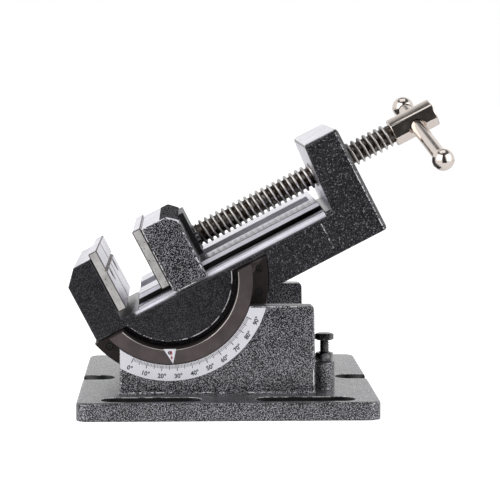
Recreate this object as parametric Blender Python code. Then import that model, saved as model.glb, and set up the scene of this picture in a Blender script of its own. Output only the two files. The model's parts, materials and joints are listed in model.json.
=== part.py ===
"""Tilting drill press vise, about 250 mm long over the handle, with 100 mm wide jaws.

A base casting with two cheeks cradles a vise body that tilts on two half rings.
The moving jaw slides on the bed and is driven by a trapezoidal lead screw.
Metres, +Z up, origin at the middle of the base's underside, handle towards +X.
"""
import math

import bmesh
import bpy

# Clearances and cutters
GAP = 0.0003
RUNNING = 0.0004
SIDE_PLAY = 0.0007
OVERRUN = 0.003
WELD = 0.000001

# Tilt axis and the angle at rest
AXIS_X = -0.035
AXIS_Z = 0.0796
REST_TILT = 27.5

# Base plate
BASE_LENGTH = 0.180
BASE_WIDTH = 0.178
BASE_THICK = 0.011
BASE_CORNER = 0.007
BASE_EDGE = 0.0016
SLOT_INNER = 0.016
SLOT_END_EDGE = 0.0145
SLOT_WIDTH = 0.014
SLOT_EDGE = 0.0115
END_SLOT_DEPTH = 0.020
END_SLOT_WIDTH = 0.016

# Cheeks
CHEEK_THICK = 0.011
CHEEK_LEFT = -0.065
CHEEK_RIGHT = 0.052
CHEEK_TOP = 0.0646
CHEEK_SPREAD = 0.001
CHEEK_CORNER = 0.0025
CHEEK_EDGE = 0.0008

# Half rings that carry the tilt
RIB_INNER = 0.0415
RIB_OUTER = 0.050
FLANGE_OUTER = 0.060
FLANGE_THICK = 0.009
RING_DROP = 0.0142
PAD_RADIUS = 0.0385
RING_SCREW_RADIUS = 0.0546
RING_SCREW_ANGLES = (-21, -36, -144, -159)

# Angle scale and pointer
SCALE_INNER = 0.0505
SCALE_OUTER = 0.0600
SCALE_THICK = 0.0007
SCALE_LEFT = 0.0296
SCALE_DROP = 0.016
SCALE_ZERO_ANGLE = -115
POINTER_THICK = 0.0008
POINTER_HALF_ANGLE = 5.3
POINTER_SKEW = 2.3
POINTER_BASE_RADIUS = 0.0409
POINTER_TIP_RADIUS = 0.0497
POINTER_SCREW_RADIUS = 0.0430

# Level stop
STOP_INSET = 0.0305
STOP_X = BASE_LENGTH / 2 - STOP_INSET
STOP_Y = -0.043
STOP_BOSS_RADIUS = 0.0065
STOP_BOSS_TOP = 0.028
STOP_SHANK_RADIUS = 0.003
STOP_HEAD_FLATS = 0.010
STOP_HEAD_HEIGHT = 0.004
STOP_NUT_HEIGHT = 0.0052
STOP_LENGTH = 0.025
STOP_HOLE_BOTTOM = 0.007

# Tilt lock
LOCK_ANGLES = (-32, -68)
LOCK_RADIUS = 0.056
LOCK_SHANK_RADIUS = 0.003
LOCK_HEAD_FLATS = 0.010
LOCK_HEAD_HEIGHT = 0.004

# Tilting body, in the vise's own frame with its origin on the tilt axis
JAW_WIDTH = 0.100
BLOCK_LEFT = -0.0565
BLOCK_TOP = 0.0327
BLOCK_CHAMFER_X = 0.0083
BLOCK_CHAMFER_Z = 0.0091
BLOCK_BOTTOM = -0.014
BODY_DEPTH = 0.034
BODY_RIGHT = 0.1313
POST_FACE_LOW = 0.106
POST_FACE_TOP = 0.109
POST_TOP = 0.0343
CAST_EDGE = 0.0010
BODY_CORNER = 0.002
CAST_STEP_START = 0.0974
CAST_STEP_END = 0.1030
CAST_STEP_TOP = -0.0135
CAST_STEP_LOW = -0.0284
CAST_STEP_DEPTH = 0.0008

# Bed
RAIL_STEP = 0.0043
RAIL_HALF_WIDTH = JAW_WIDTH / 2 - RAIL_STEP
RAIL_START_TOP = -0.021
RAIL_START_LOW = -0.0254
RAIL_END_TOP = 0.1010
RAIL_END_LOW = 0.1025
NOTCH_FLOOR = -0.008
RAIL_SIDE_LOW = -0.0105
GROOVE_TOP = -0.003
GROOVE_LOW = -0.0068
GROOVE_REACH = 0.014
GROOVE_HALF_WIDTH = JAW_WIDTH / 2 - GROOVE_REACH
GROOVE_END = 0.104
BED_SLOT_HALF = 0.016
BED_SLOT_START = -0.022
BED_SLOT_END = 0.098
CAVITY_HALF = 0.029
CAVITY_TOP = -0.011
CAVITY_FLOOR = -0.020
CAVITY_START = -0.027
CAVITY_END = 0.101
CAVITY_OPEN = 0.062

# Jaw plates
PLATE_THICK = 0.0056
FIXED_PLATE_FACE = -0.031
FIXED_PLATE_TOP = 0.0358
MOVING_PLATE_FACE = -0.007
MOVING_PLATE_TOP = 0.0356
PLATE_BOTTOM = -0.0037
PLATE_EDGE = 0.0006
VEE_DROP = 0.0133
VEE_HALF = 0.0014
PLATE_SCREW_DROP = 0.0185

# Moving jaw
JAW_REAR = 0.0215
JAW_TOP = 0.0343
JAW_CHAMFER_X = 0.0055
JAW_CHAMFER_Z = 0.0053
SKIRT_BOTTOM = -0.009
TONGUE_HALF = 0.0155
TONGUE_FRONT = 0.002
TONGUE_REAR = 0.019
KEEPER_HALF = 0.027
KEEPER_THICK = 0.005

# Lead screw
SCREW_HEIGHT = 0.0116
SCREW_RADIUS = 0.008
SCREW_ROOT = 0.0058
SCREW_PITCH = 0.004
SCREW_STEPS = 16
THREAD_START = 0.0305
THREAD_END = 0.1605
FORM_SHARES = (0.0, 0.34, 0.48, 0.86)
COLLAR_RADIUS = 0.0068
NECK_RADIUS = 0.0050
TIP_LENGTH = 0.008
RETAINER_THICK = 0.003
RETAINER_HALF = 0.022
RETAINER_BOTTOM = 0.0015
RETAINER_TOP = 0.030
RETAINER_SCREW_HALF = 0.015

# Hexagon boss and handle
BOSS_START = 0.1637
BOSS_END = 0.1935
BOSS_FLATS = 0.016
BOSS_CHAMFER = 0.0008
HANDLE_PLACE = 0.1795
HANDLE_ANGLE = 24
HOLE_MOUTH = 0.0065
BAR_RADIUS = 0.0045
NEAR_REACH = 0.058
FAR_REACH = 0.0235
BALL_RADIUS = 0.0069
BALL_SOCKET = 0.0006

# Screws: head radius, head height, shank radius, length, socket flats, socket depth
PLATE_SCREW = (0.0050, 0.0035, 0.003, 0.018, 0.005, 0.0022)
RETAINER_SCREW = (0.0035, 0.0020, 0.002, 0.012, 0.0025, 0.0012)
KEEPER_SCREW = (0.0050, 0.0030, 0.003, 0.016, 0.005, 0.0020)
RING_SCREW = (0.0019, 0.0020, 0.0010, 0.014, 0.0015, 0.0010)
POINTER_SCREW = (0.0014, 0.0009, 0.0008, 0.006, 0.0010, 0.0005)

# Facets
ROUND_STEPS = 24
SMALL_STEPS = 12
HALF_STEP = 180 / ROUND_STEPS
ARC_STEPS = 36
CORNER_STEPS = 3
SMOOTH_ANGLE = 35


def clear_scene():
    """Remove every object, so that the script starts from an empty scene."""
    for obj in list(bpy.data.objects):
        bpy.data.objects.remove(obj)


def material(name, colour, metallic, roughness):
    """A plain Principled finish; colour is linear red, green and blue."""
    made = bpy.data.materials.new(name)
    made.use_nodes = True
    shader = made.node_tree.nodes["Principled BSDF"]
    shader.inputs["Base Color"].default_value = (*colour, 1.0)
    shader.inputs["Metallic"].default_value = metallic
    shader.inputs["Roughness"].default_value = roughness
    return made


def empty(name, parent=None, location=(0, 0, 0), rotation=(0, 0, 0)):
    """An empty that carries moving pieces; rotation is in degrees."""
    guide = bpy.data.objects.new(name, None)
    bpy.context.scene.collection.objects.link(guide)
    guide.parent = parent
    guide.location = location
    guide.rotation_euler = [math.radians(angle) for angle in rotation]
    return guide


def piece(name, bm, finish, parent, location=(0, 0, 0), rotation=(0, 0, 0)):
    """Turn a bmesh into a named, shaded and placed object."""
    mesh = bpy.data.meshes.new(name)
    bm.to_mesh(mesh)
    bm.free()
    mesh.shade_smooth()
    mesh.set_sharp_from_angle(angle=math.radians(SMOOTH_ANGLE))
    if finish:
        mesh.materials.append(finish)
    obj = bpy.data.objects.new(name, mesh)
    bpy.context.scene.collection.objects.link(obj)
    obj.parent = parent
    obj.location = location
    obj.rotation_euler = [math.radians(angle) for angle in rotation]
    return obj


def tool(name, bm, parent, location=(0, 0, 0), rotation=(0, 0, 0)):
    """A hidden shape that other pieces are cut by or joined with."""
    obj = piece(name, bm, None, parent, location, rotation)
    obj.hide_render = True
    obj.display_type = "WIRE"
    return obj


def combine(target, other, operation):
    """Add a Boolean of the target with a hidden tool."""
    modifier = target.modifiers.new(other.name, "BOOLEAN")
    modifier.operation = operation
    modifier.solver = "EXACT"
    modifier.object = other


def cut(target, *others):
    """Cut each tool out of the target."""
    for other in others:
        combine(target, other, "DIFFERENCE")


def fuse(target, *others):
    """Cast each tool in one with the target."""
    for other in others:
        combine(target, other, "UNION")


def arc(radius, start, end, steps, centre=(0, 0)):
    """Points along an arc, both ends included; angles in degrees."""
    points = []
    for step in range(steps + 1):
        angle = math.radians(start + (end - start) * step / steps)
        points.append((centre[0] + radius * math.cos(angle), centre[1] + radius * math.sin(angle)))
    return points


def extrude(bm, points, offset):
    """Fill the points with a face and extrude it by the offset into a closed solid."""
    face = bm.faces.new([bm.verts.new(point) for point in points])
    made = bmesh.ops.extrude_face_region(bm, geom=[face])
    moved = [item for item in made["geom"] if isinstance(item, bmesh.types.BMVert)]
    bmesh.ops.translate(bm, verts=moved, vec=offset)
    bmesh.ops.recalc_face_normals(bm, faces=bm.faces)
    return bm


def prism(outline, low, high):
    """A side outline of (x, z) points, extruded across the width from low to high."""
    return extrude(bmesh.new(), [(x, low, z) for x, z in outline], (0, high - low, 0))


def slab(outline, low, high):
    """A plan outline of (x, y) points, extruded upwards from low to high."""
    return extrude(bmesh.new(), [(x, y, low) for x, y in outline], (0, 0, high - low))


def block(x_low, x_high, y_low, y_high, z_low, z_high):
    """A rectangular solid between two corners."""
    outline = [(x_low, z_low), (x_high, z_low), (x_high, z_high), (x_low, z_high)]
    return prism(outline, y_low, y_high)


def turned(profile, steps):
    """A solid turned about Z from (radius, height) points that start and end on the axis."""
    bm = bmesh.new()
    verts = [bm.verts.new((radius, 0, height)) for radius, height in profile]
    edges = [bm.edges.new(pair) for pair in zip(verts, verts[1:])]
    bmesh.ops.spin(bm, geom=verts + edges, cent=(0, 0, 0), axis=(0, 0, 1),
                   angle=math.tau, steps=steps, use_merge=True)
    bmesh.ops.remove_doubles(bm, verts=bm.verts, dist=WELD)
    bmesh.ops.recalc_face_normals(bm, faces=bm.faces)
    return bm


def cylinder(radius, low, high, steps):
    """A plain turned cylinder between two heights."""
    return turned([(0, low), (radius, low), (radius, high), (0, high)], steps)


def hexagon(flats, low, high, turn=0):
    """A hexagonal bar along Z, with a corner at the turn angle in degrees."""
    corner = flats / math.sqrt(3)
    return slab(arc(corner, turn, turn + 300, 5), low, high)


def soften(bm, chosen, radius, steps):
    """Bevel or round the edges whose two ends pass the test."""
    edges = [edge for edge in bm.edges if all(chosen(vert.co) for vert in edge.verts)]
    bmesh.ops.bevel(bm, geom=edges, offset=radius, offset_type="OFFSET", segments=steps,
                    profile=0.5, affect="EDGES", material=-1)
    return bm


def near(value, target):
    """True where a coordinate lies on a plane."""
    return abs(value - target) < WELD


def socket_screw(name, sizes, finish, parent, location, rotation, targets, steps=SMALL_STEPS):
    """A socket head screw whose head's top is at the location, facing along its own +Z.

    Its clearance hole is cut in each of the targets.
    """
    head_radius, head_height, shank_radius, length, flats, depth = sizes
    screw = piece(name, turned([(0, 0), (head_radius, 0), (head_radius, -head_height),
                                (shank_radius, -head_height), (shank_radius, -length), (0, -length)],
                               steps), finish, parent, location, rotation)
    cut(screw, tool(name + "_socket", hexagon(flats, -depth, OVERRUN), parent, location, rotation))
    hole = tool(name + "_hole", turned([(0, OVERRUN), (head_radius + GAP, OVERRUN),
                                        (head_radius + GAP, -head_height - GAP),
                                        (shank_radius + GAP, -head_height - GAP),
                                        (shank_radius + GAP, -length - GAP), (0, -length - GAP)],
                                       steps), parent, location, rotation)
    for target in targets:
        cut(target, hole)
    return screw


def base_outline():
    """Plan outline of the base plate, with its corners rounded."""
    x = BASE_LENGTH / 2 - BASE_CORNER
    y = BASE_WIDTH / 2 - BASE_CORNER
    points = []
    for turn, centre in enumerate([(x, y), (-x, y), (-x, -y), (x, -y)]):
        points += arc(BASE_CORNER, 90 * turn, 90 * turn + 90, CORNER_STEPS + 1, centre)
    return points


def slot_outline(x_low, x_high, y, width):
    """Plan outline of a round-ended slot along X."""
    radius = width / 2
    right = arc(radius, -90, 90, ROUND_STEPS // 2, (x_high - radius, y))
    left = arc(radius, 90, 270, ROUND_STEPS // 2, (x_low + radius, y))
    return right + left


def cheek_outline():
    """Side outline of a cheek, with the round seat that carries a ring."""
    seat = RIB_OUTER + GAP
    top_angle = math.degrees(math.asin((CHEEK_TOP - AXIS_Z) / seat))
    left_angle = -math.degrees(math.acos((CHEEK_LEFT - AXIS_X) / seat))
    foot = BASE_THICK / 2
    corner = (CHEEK_RIGHT - CHEEK_CORNER, CHEEK_TOP - CHEEK_CORNER)
    points = [(CHEEK_LEFT, foot), (CHEEK_RIGHT + CHEEK_SPREAD, foot)]
    points += arc(CHEEK_CORNER, 0, 90, CORNER_STEPS, corner)
    points += arc(seat, top_angle, left_angle, ARC_STEPS, (AXIS_X, AXIS_Z))
    return points


def lock_places():
    """Where the axes of the tilt lock screws cross the side plane, in X and Z."""
    places = []
    for degrees in LOCK_ANGLES:
        angle = math.radians(degrees)
        places.append((AXIS_X + LOCK_RADIUS * math.cos(angle), AXIS_Z + LOCK_RADIUS * math.sin(angle)))
    return places


def make_base(finish):
    """Base casting: slotted plate, two cheeks and the stop's boss."""
    plate = slab(base_outline(), 0, BASE_THICK)
    soften(plate, lambda co: near(co.z, BASE_THICK), BASE_EDGE, CORNER_STEPS - 1)
    base = piece("base_casting", plate, finish, None)
    inner = JAW_WIDTH / 2 + SIDE_PLAY
    outer = inner + CHEEK_THICK
    for side, low, high in (("front", -outer, -inner), ("back", inner, outer)):
        cheek = prism(cheek_outline(), low, high)
        shown = low if side == "front" else high
        soften(cheek, lambda co: near(co.y, shown) and (co.x > CHEEK_RIGHT - CHEEK_CORNER - WELD
                                                        or near(co.x, CHEEK_LEFT)), CHEEK_EDGE, 1)
        fuse(base, tool("cheek_" + side, cheek, None))
    boss = cylinder(STOP_BOSS_RADIUS, BASE_THICK / 2, STOP_BOSS_TOP, ROUND_STEPS)
    fuse(base, tool("stop_boss", boss, None, (STOP_X, STOP_Y, 0), (0, 0, HALF_STEP)))
    for number, (lock_x, lock_z) in enumerate(lock_places(), 1):
        bore = cylinder(LOCK_SHANK_RADIUS + GAP, -CHEEK_THICK - OVERRUN, OVERRUN, SMALL_STEPS)
        cut(base, tool("lock_bore_%d" % number, bore, None, (lock_x, outer, lock_z), (-90, 0, 0)))
    hole = cylinder(STOP_SHANK_RADIUS + GAP, STOP_HOLE_BOTTOM, STOP_BOSS_TOP + OVERRUN, SMALL_STEPS)
    cut(base, tool("stop_hole", hole, None, (STOP_X, STOP_Y, 0)))
    row = BASE_WIDTH / 2 - SLOT_EDGE
    far = BASE_LENGTH / 2 - SLOT_END_EDGE
    for name, low, high, y in (("front_left", -far, -SLOT_INNER, -row),
                               ("front_right", SLOT_INNER, far, -row),
                               ("back_left", -far, -SLOT_INNER, row),
                               ("back_right", SLOT_INNER, far, row)):
        outline = slot_outline(low, high, y, SLOT_WIDTH)
        cut(base, tool("slot_" + name, slab(outline, -OVERRUN, BASE_THICK + OVERRUN), None))
    end = BASE_LENGTH / 2
    reach = end + END_SLOT_WIDTH
    for name, low, high in (("left", -reach, END_SLOT_DEPTH - end), ("right", end - END_SLOT_DEPTH, reach)):
        outline = slot_outline(low, high, 0, END_SLOT_WIDTH)
        cut(base, tool("end_slot_" + name, slab(outline, -OVERRUN, BASE_THICK + OVERRUN), None))
    return base


def make_scale(finish):
    """Angle scale: a flat sector on the front cheek, under the front ring."""
    outer_left = -math.degrees(math.acos(-SCALE_LEFT / SCALE_OUTER))
    inner_left = -math.degrees(math.acos(-SCALE_LEFT / SCALE_INNER))
    outer_right = -math.degrees(math.asin(SCALE_DROP / SCALE_OUTER))
    inner_right = -math.degrees(math.asin(SCALE_DROP / SCALE_INNER))
    centre = (AXIS_X, AXIS_Z)
    outline = arc(SCALE_OUTER, outer_right, outer_left, ARC_STEPS, centre)
    outline += arc(SCALE_INNER, inner_left, inner_right, ARC_STEPS, centre)
    face = -(JAW_WIDTH / 2 + SIDE_PLAY + CHEEK_THICK)
    return piece("angle_scale", prism(outline, face - GAP - SCALE_THICK, face - GAP), finish, None)


def make_stop(finish):
    """Level stop: a hexagon head bolt with a jam nut on the base's boss."""
    seat = AXIS_Z - BODY_DEPTH - GAP
    guide = empty("stop_height", None, (STOP_X, STOP_Y, seat))
    head = hexagon(STOP_HEAD_FLATS, -STOP_HEAD_HEIGHT, 0)
    bolt = piece("stop_bolt", head, finish, guide)
    shank = cylinder(STOP_SHANK_RADIUS, -STOP_HEAD_HEIGHT - STOP_LENGTH, -STOP_HEAD_HEIGHT / 2, SMALL_STEPS)
    fuse(bolt, tool("stop_shank", shank, guide))
    place = (STOP_X, STOP_Y, STOP_BOSS_TOP + GAP)
    nut = piece("stop_jam_nut", hexagon(STOP_HEAD_FLATS, 0, STOP_NUT_HEIGHT, 12), finish, None, place)
    bore = cylinder(STOP_SHANK_RADIUS + GAP, -OVERRUN, STOP_NUT_HEIGHT + OVERRUN, SMALL_STEPS)
    cut(nut, tool("jam_nut_bore", bore, None, place))


def make_lock(finish):
    """Tilt lock: two hexagon head screws through the back cheek that bear on the back ring."""
    face = JAW_WIDTH / 2 + SIDE_PLAY + CHEEK_THICK
    reach = face - JAW_WIDTH / 2
    for number, (lock_x, lock_z) in enumerate(lock_places(), 1):
        name = "tilt_lock_screw_%d" % number
        guide = empty(name + "_axis", None, (lock_x, face + GAP, lock_z), (-90, 0, 0))
        screw = piece(name, hexagon(LOCK_HEAD_FLATS, 0, LOCK_HEAD_HEIGHT), finish, guide)
        shank = cylinder(LOCK_SHANK_RADIUS, -reach, LOCK_HEAD_HEIGHT / 2, SMALL_STEPS)
        fuse(screw, tool(name + "_shank", shank, guide))


def body_outline():
    """Side outline of the tilting casting: jaw block, bed, post, underside and keel."""
    left_angle = 180 + math.degrees(math.asin(-BLOCK_BOTTOM / FLANGE_OUTER))
    right_angle = 360 - math.degrees(math.asin(BODY_DEPTH / FLANGE_OUTER))
    block_face = FIXED_PLATE_FACE - PLATE_THICK - GAP
    points = arc(FLANGE_OUTER, left_angle, right_angle, ARC_STEPS)
    points += [
        (BODY_RIGHT, -BODY_DEPTH),
        (BODY_RIGHT, POST_TOP),
        (POST_FACE_TOP, POST_TOP),
        (POST_FACE_LOW, NOTCH_FLOOR),
        (RAIL_END_LOW, NOTCH_FLOOR),
        (RAIL_END_TOP, 0),
        (RAIL_START_TOP, 0),
        (RAIL_START_LOW, NOTCH_FLOOR),
        (block_face, NOTCH_FLOOR),
        (block_face, BLOCK_TOP),
        (BLOCK_LEFT + BLOCK_CHAMFER_X, BLOCK_TOP),
        (BLOCK_LEFT, BLOCK_TOP - BLOCK_CHAMFER_Z),
        (BLOCK_LEFT, BLOCK_BOTTOM),
    ]
    return points


def ring_seat_outline():
    """Side outline of the rebate round the pad that holds a half ring."""
    outer = FLANGE_OUTER + GAP
    top = -BLOCK_BOTTOM - GAP
    outer_angle = math.degrees(math.asin(top / outer))
    inner_angle = math.degrees(math.asin(top / PAD_RADIUS))
    outline = arc(outer, 180 + outer_angle, 360 - outer_angle, ARC_STEPS)
    outline += arc(PAD_RADIUS, 360 - inner_angle, 180 + inner_angle, ARC_STEPS)
    return outline


def make_body(finish, parent):
    """Tilting casting with its bed ways, keeper cavity, ring seats and screw bore."""
    half = JAW_WIDTH / 2
    bm = prism(body_outline(), -half, half)
    rear = BODY_RIGHT - WELD
    soften(bm, lambda co: co.x > rear or near(co.z, POST_TOP), BODY_CORNER, CORNER_STEPS - 1)
    body = piece("vise_body_casting", bm, finish, parent)
    for side in (-1, 1):
        name = "front" if side < 0 else "back"
        inner, outer = sorted((side * RAIL_HALF_WIDTH, side * (half + OVERRUN)))
        step = block(RAIL_START_LOW - OVERRUN, POST_FACE_LOW, inner, outer, RAIL_SIDE_LOW, OVERRUN)
        groove_inner, groove_outer = sorted((side * GROOVE_HALF_WIDTH, side * (half + OVERRUN)))
        groove = block(RAIL_START_LOW - OVERRUN, GROOVE_END, groove_inner, groove_outer,
                       GROOVE_LOW, GROOVE_TOP)
        seat_inner, seat_outer = sorted((side * (half - FLANGE_THICK - GAP), side * (half + OVERRUN)))
        seat = prism(ring_seat_outline(), seat_inner, seat_outer)
        ramp_end = 2 * CAST_STEP_END - CAST_STEP_START
        ramp = slab([(CAST_STEP_START, side * (half - CAST_STEP_DEPTH)),
                     (ramp_end, side * (half + CAST_STEP_DEPTH)),
                     (ramp_end, side * (half + OVERRUN)),
                     (CAST_STEP_START, side * (half + OVERRUN))], CAST_STEP_LOW, CAST_STEP_TOP)
        cut(body, tool("rail_step_" + name, step, parent), tool("rail_groove_" + name, groove, parent),
            tool("ring_seat_" + name, seat, parent), tool("cast_step_" + name, ramp, parent))
    slot = block(BED_SLOT_START, BED_SLOT_END, -BED_SLOT_HALF, BED_SLOT_HALF, CAVITY_TOP - OVERRUN, OVERRUN)
    tunnel = block(CAVITY_START, CAVITY_END, -CAVITY_HALF, CAVITY_HALF, CAVITY_FLOOR, CAVITY_TOP)
    pocket = block(CAVITY_OPEN, CAVITY_END, -CAVITY_HALF, CAVITY_HALF, -BODY_DEPTH - OVERRUN,
                   CAVITY_FLOOR + OVERRUN)
    bore = cylinder(SCREW_RADIUS + RUNNING, POST_FACE_LOW - OVERRUN, BODY_RIGHT + OVERRUN, ROUND_STEPS)
    cut(body, tool("bed_slot", slot, parent), tool("keeper_tunnel", tunnel, parent),
        tool("keeper_pocket", pocket, parent),
        tool("nut_bore", bore, parent, (0, 0, SCREW_HEIGHT), (0, 90, 0)))
    return body


def make_rings(finish, screw_finish, body, parent):
    """Two L-section half rings that turn in the cheeks, each held by four screws."""
    half = JAW_WIDTH / 2
    rib_face = half + SIDE_PLAY + CHEEK_THICK
    for side, name in ((-1, "front"), (1, "back")):
        section = [(RIB_INNER, half - FLANGE_THICK), (FLANGE_OUTER, half - FLANGE_THICK),
                   (FLANGE_OUTER, half), (RIB_OUTER, half), (RIB_OUTER, rib_face), (RIB_INNER, rib_face)]
        bm = bmesh.new()
        verts = [bm.verts.new((radius, side * y, 0)) for radius, y in section]
        edges = [bm.edges.new((verts[i - 1], verts[i])) for i in range(len(verts))]
        bmesh.ops.spin(bm, geom=verts + edges, cent=(0, 0, 0), axis=(0, 1, 0),
                       angle=math.pi, steps=ARC_STEPS)
        open_edges = [edge for edge in bm.edges if edge.is_boundary]
        bmesh.ops.holes_fill(bm, edges=open_edges, sides=0)
        bmesh.ops.recalc_face_normals(bm, faces=bm.faces)
        ring = piece("tilt_ring_" + name, bm, finish, parent)
        trim = block(-FLANGE_OUTER - OVERRUN, FLANGE_OUTER + OVERRUN, -rib_face - OVERRUN,
                     rib_face + OVERRUN, -RING_DROP, OVERRUN)
        cut(ring, tool("ring_trim_" + name, trim, parent))
        for number, angle in enumerate(RING_SCREW_ANGLES, 1):
            turn = math.radians(angle)
            place = (RING_SCREW_RADIUS * math.cos(turn), side * (half - GAP),
                     RING_SCREW_RADIUS * math.sin(turn))
            socket_screw("ring_screw_%s_%d" % (name, number), RING_SCREW, screw_finish, parent, place,
                         (-90 * side, 0, 0), (ring, body))


def make_pointer(finish, screw_finish, parent):
    """Pointer: a small triangle on the front ring, with its tip over the scale's zero at level."""
    face = -(JAW_WIDTH / 2 + SIDE_PLAY + CHEEK_THICK + GAP)
    outline = []
    middle = SCALE_ZERO_ANGLE - POINTER_SKEW
    for radius, angle in ((POINTER_BASE_RADIUS, middle - POINTER_HALF_ANGLE),
                          (POINTER_TIP_RADIUS, SCALE_ZERO_ANGLE),
                          (POINTER_BASE_RADIUS, middle + POINTER_HALF_ANGLE)):
        turn = math.radians(angle)
        outline.append((radius * math.cos(turn), radius * math.sin(turn)))
    pointer = piece("tilt_pointer", prism(outline, face - POINTER_THICK, face), finish, parent)
    turn = math.radians(middle)
    place = (POINTER_SCREW_RADIUS * math.cos(turn), face - POINTER_THICK - GAP - POINTER_SCREW[1],
             POINTER_SCREW_RADIUS * math.sin(turn))
    ring = bpy.data.objects["tilt_ring_front"]
    socket_screw("pointer_screw", POINTER_SCREW, screw_finish, parent, place, (90, 0, 0), (pointer, ring))


def plate_box(face, top, parent, name, finish, towards):
    """A bevelled jaw plate whose gripping face looks along the bed."""
    low, high = sorted((face, face - towards * PLATE_THICK))
    half = JAW_WIDTH / 2
    bm = block(low, high, -half, half, PLATE_BOTTOM, top)
    soften(bm, lambda co: True, PLATE_EDGE, 1)
    return piece(name, bm, finish, parent)


def make_fixed_plate(finish, screw_finish, body, parent):
    """Fixed jaw plate with its level and upright V grooves and two screws."""
    plate = plate_box(FIXED_PLATE_FACE, FIXED_PLATE_TOP, parent, "fixed_jaw_plate", finish, 1)
    half = JAW_WIDTH / 2
    face = FIXED_PLATE_FACE
    height = FIXED_PLATE_TOP - VEE_DROP
    level = [(face - VEE_HALF, height), (face + OVERRUN, height - VEE_HALF - OVERRUN),
             (face + OVERRUN, height + VEE_HALF + OVERRUN)]
    upright = [(face - VEE_HALF, 0), (face + OVERRUN, -VEE_HALF - OVERRUN),
               (face + OVERRUN, VEE_HALF + OVERRUN)]
    cut(plate, tool("level_vee", prism(level, -half - OVERRUN, half + OVERRUN), parent),
        tool("upright_vee", slab(upright, PLATE_BOTTOM - OVERRUN, FIXED_PLATE_TOP + OVERRUN), parent))
    for number, side in enumerate((-1, 1), 1):
        place = (face - GAP, side * JAW_WIDTH / 4, FIXED_PLATE_TOP - PLATE_SCREW_DROP)
        socket_screw("fixed_plate_screw_%d" % number, PLATE_SCREW, screw_finish, parent, place,
                     (0, 90, 0), (plate, body))


def make_moving_jaw(paint, steel, screw_finish, parent):
    """Moving jaw: skirted casting, plate, screw retainer and keeper plate."""
    half = JAW_WIDTH / 2
    back = MOVING_PLATE_FACE + PLATE_THICK + GAP
    outline = [(back, SKIRT_BOTTOM), (JAW_REAR, SKIRT_BOTTOM), (JAW_REAR, JAW_TOP - JAW_CHAMFER_Z),
               (JAW_REAR - JAW_CHAMFER_X, JAW_TOP), (back, JAW_TOP)]
    bm = prism(outline, -half, half)
    soften(bm, lambda co: co.x > back + WELD, CAST_EDGE, CORNER_STEPS - 1)
    jaw = piece("moving_jaw_casting", bm, paint, parent)
    saddle = RAIL_HALF_WIDTH + GAP
    cut(jaw, tool("jaw_saddle", block(back - OVERRUN, JAW_REAR + OVERRUN, -saddle, saddle,
                                      SKIRT_BOTTOM - OVERRUN, GAP), parent))
    fuse(jaw, tool("jaw_tongue", block(TONGUE_FRONT, TONGUE_REAR, -TONGUE_HALF, TONGUE_HALF,
                                       CAVITY_TOP - GAP, SCREW_HEIGHT - COLLAR_RADIUS), parent))
    pocket = cylinder(COLLAR_RADIUS + RUNNING, JAW_REAR - TIP_LENGTH - RUNNING, JAW_REAR + OVERRUN,
                      ROUND_STEPS)
    cut(jaw, tool("screw_pocket", pocket, parent, (0, 0, SCREW_HEIGHT), (0, 90, 0)))
    plate = plate_box(MOVING_PLATE_FACE, MOVING_PLATE_TOP, parent, "moving_jaw_plate", steel, -1)
    cut(plate, tool("plate_saddle", block(MOVING_PLATE_FACE - OVERRUN, back, -saddle, saddle,
                                          PLATE_BOTTOM - OVERRUN, GAP), parent))
    for number, side in enumerate((-1, 1), 1):
        place = (MOVING_PLATE_FACE + GAP, side * JAW_WIDTH / 4, MOVING_PLATE_TOP - PLATE_SCREW_DROP)
        socket_screw("moving_plate_screw_%d" % number, PLATE_SCREW, screw_finish, parent, place,
                     (0, -90, 0), (plate, jaw))
    make_retainer(steel, screw_finish, jaw, parent)
    make_keeper(steel, screw_finish, jaw, parent)


def make_retainer(steel, screw_finish, jaw, parent):
    """Retainer: a forked plate behind the jaw that holds the lead screw's collar."""
    front = JAW_REAR + GAP
    rear = front + RETAINER_THICK
    bm = block(front, rear, -RETAINER_HALF, RETAINER_HALF, RETAINER_BOTTOM, RETAINER_TOP)
    plate = piece("screw_retainer", bm, steel, parent)
    radius = NECK_RADIUS + RUNNING
    foot = RETAINER_BOTTOM - SCREW_HEIGHT - OVERRUN
    mouth = [(radius, foot)] + arc(radius, 0, 180, ROUND_STEPS // 2) + [(-radius, foot)]
    fork = slab(mouth, front - OVERRUN, rear + OVERRUN)
    cut(plate, tool("retainer_fork", fork, parent, (0, 0, SCREW_HEIGHT), (90, 0, 90)))
    for number, side in enumerate((-1, 1), 1):
        place = (rear + GAP + RETAINER_SCREW[1], side * RETAINER_SCREW_HALF, SCREW_HEIGHT)
        socket_screw("retainer_screw_%d" % number, RETAINER_SCREW, screw_finish, parent, place,
                     (0, 90, 0), (plate, jaw))


def make_keeper(steel, screw_finish, jaw, parent):
    """Keeper plate: holds the moving jaw down from under the bed ways."""
    top = CAVITY_TOP - GAP - GAP
    plate = piece("keeper_plate", block(TONGUE_FRONT, TONGUE_REAR, -KEEPER_HALF, KEEPER_HALF,
                                        top - KEEPER_THICK, top), steel, parent)
    middle = (TONGUE_FRONT + TONGUE_REAR) / 2
    for number, side in enumerate((-1, 1), 1):
        place = (middle, side * TONGUE_HALF / 2, top - KEEPER_THICK + GAP)
        socket_screw("keeper_screw_%d" % number, KEEPER_SCREW, screw_finish, parent, place,
                     (180, 0, 0), (plate, jaw))


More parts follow.
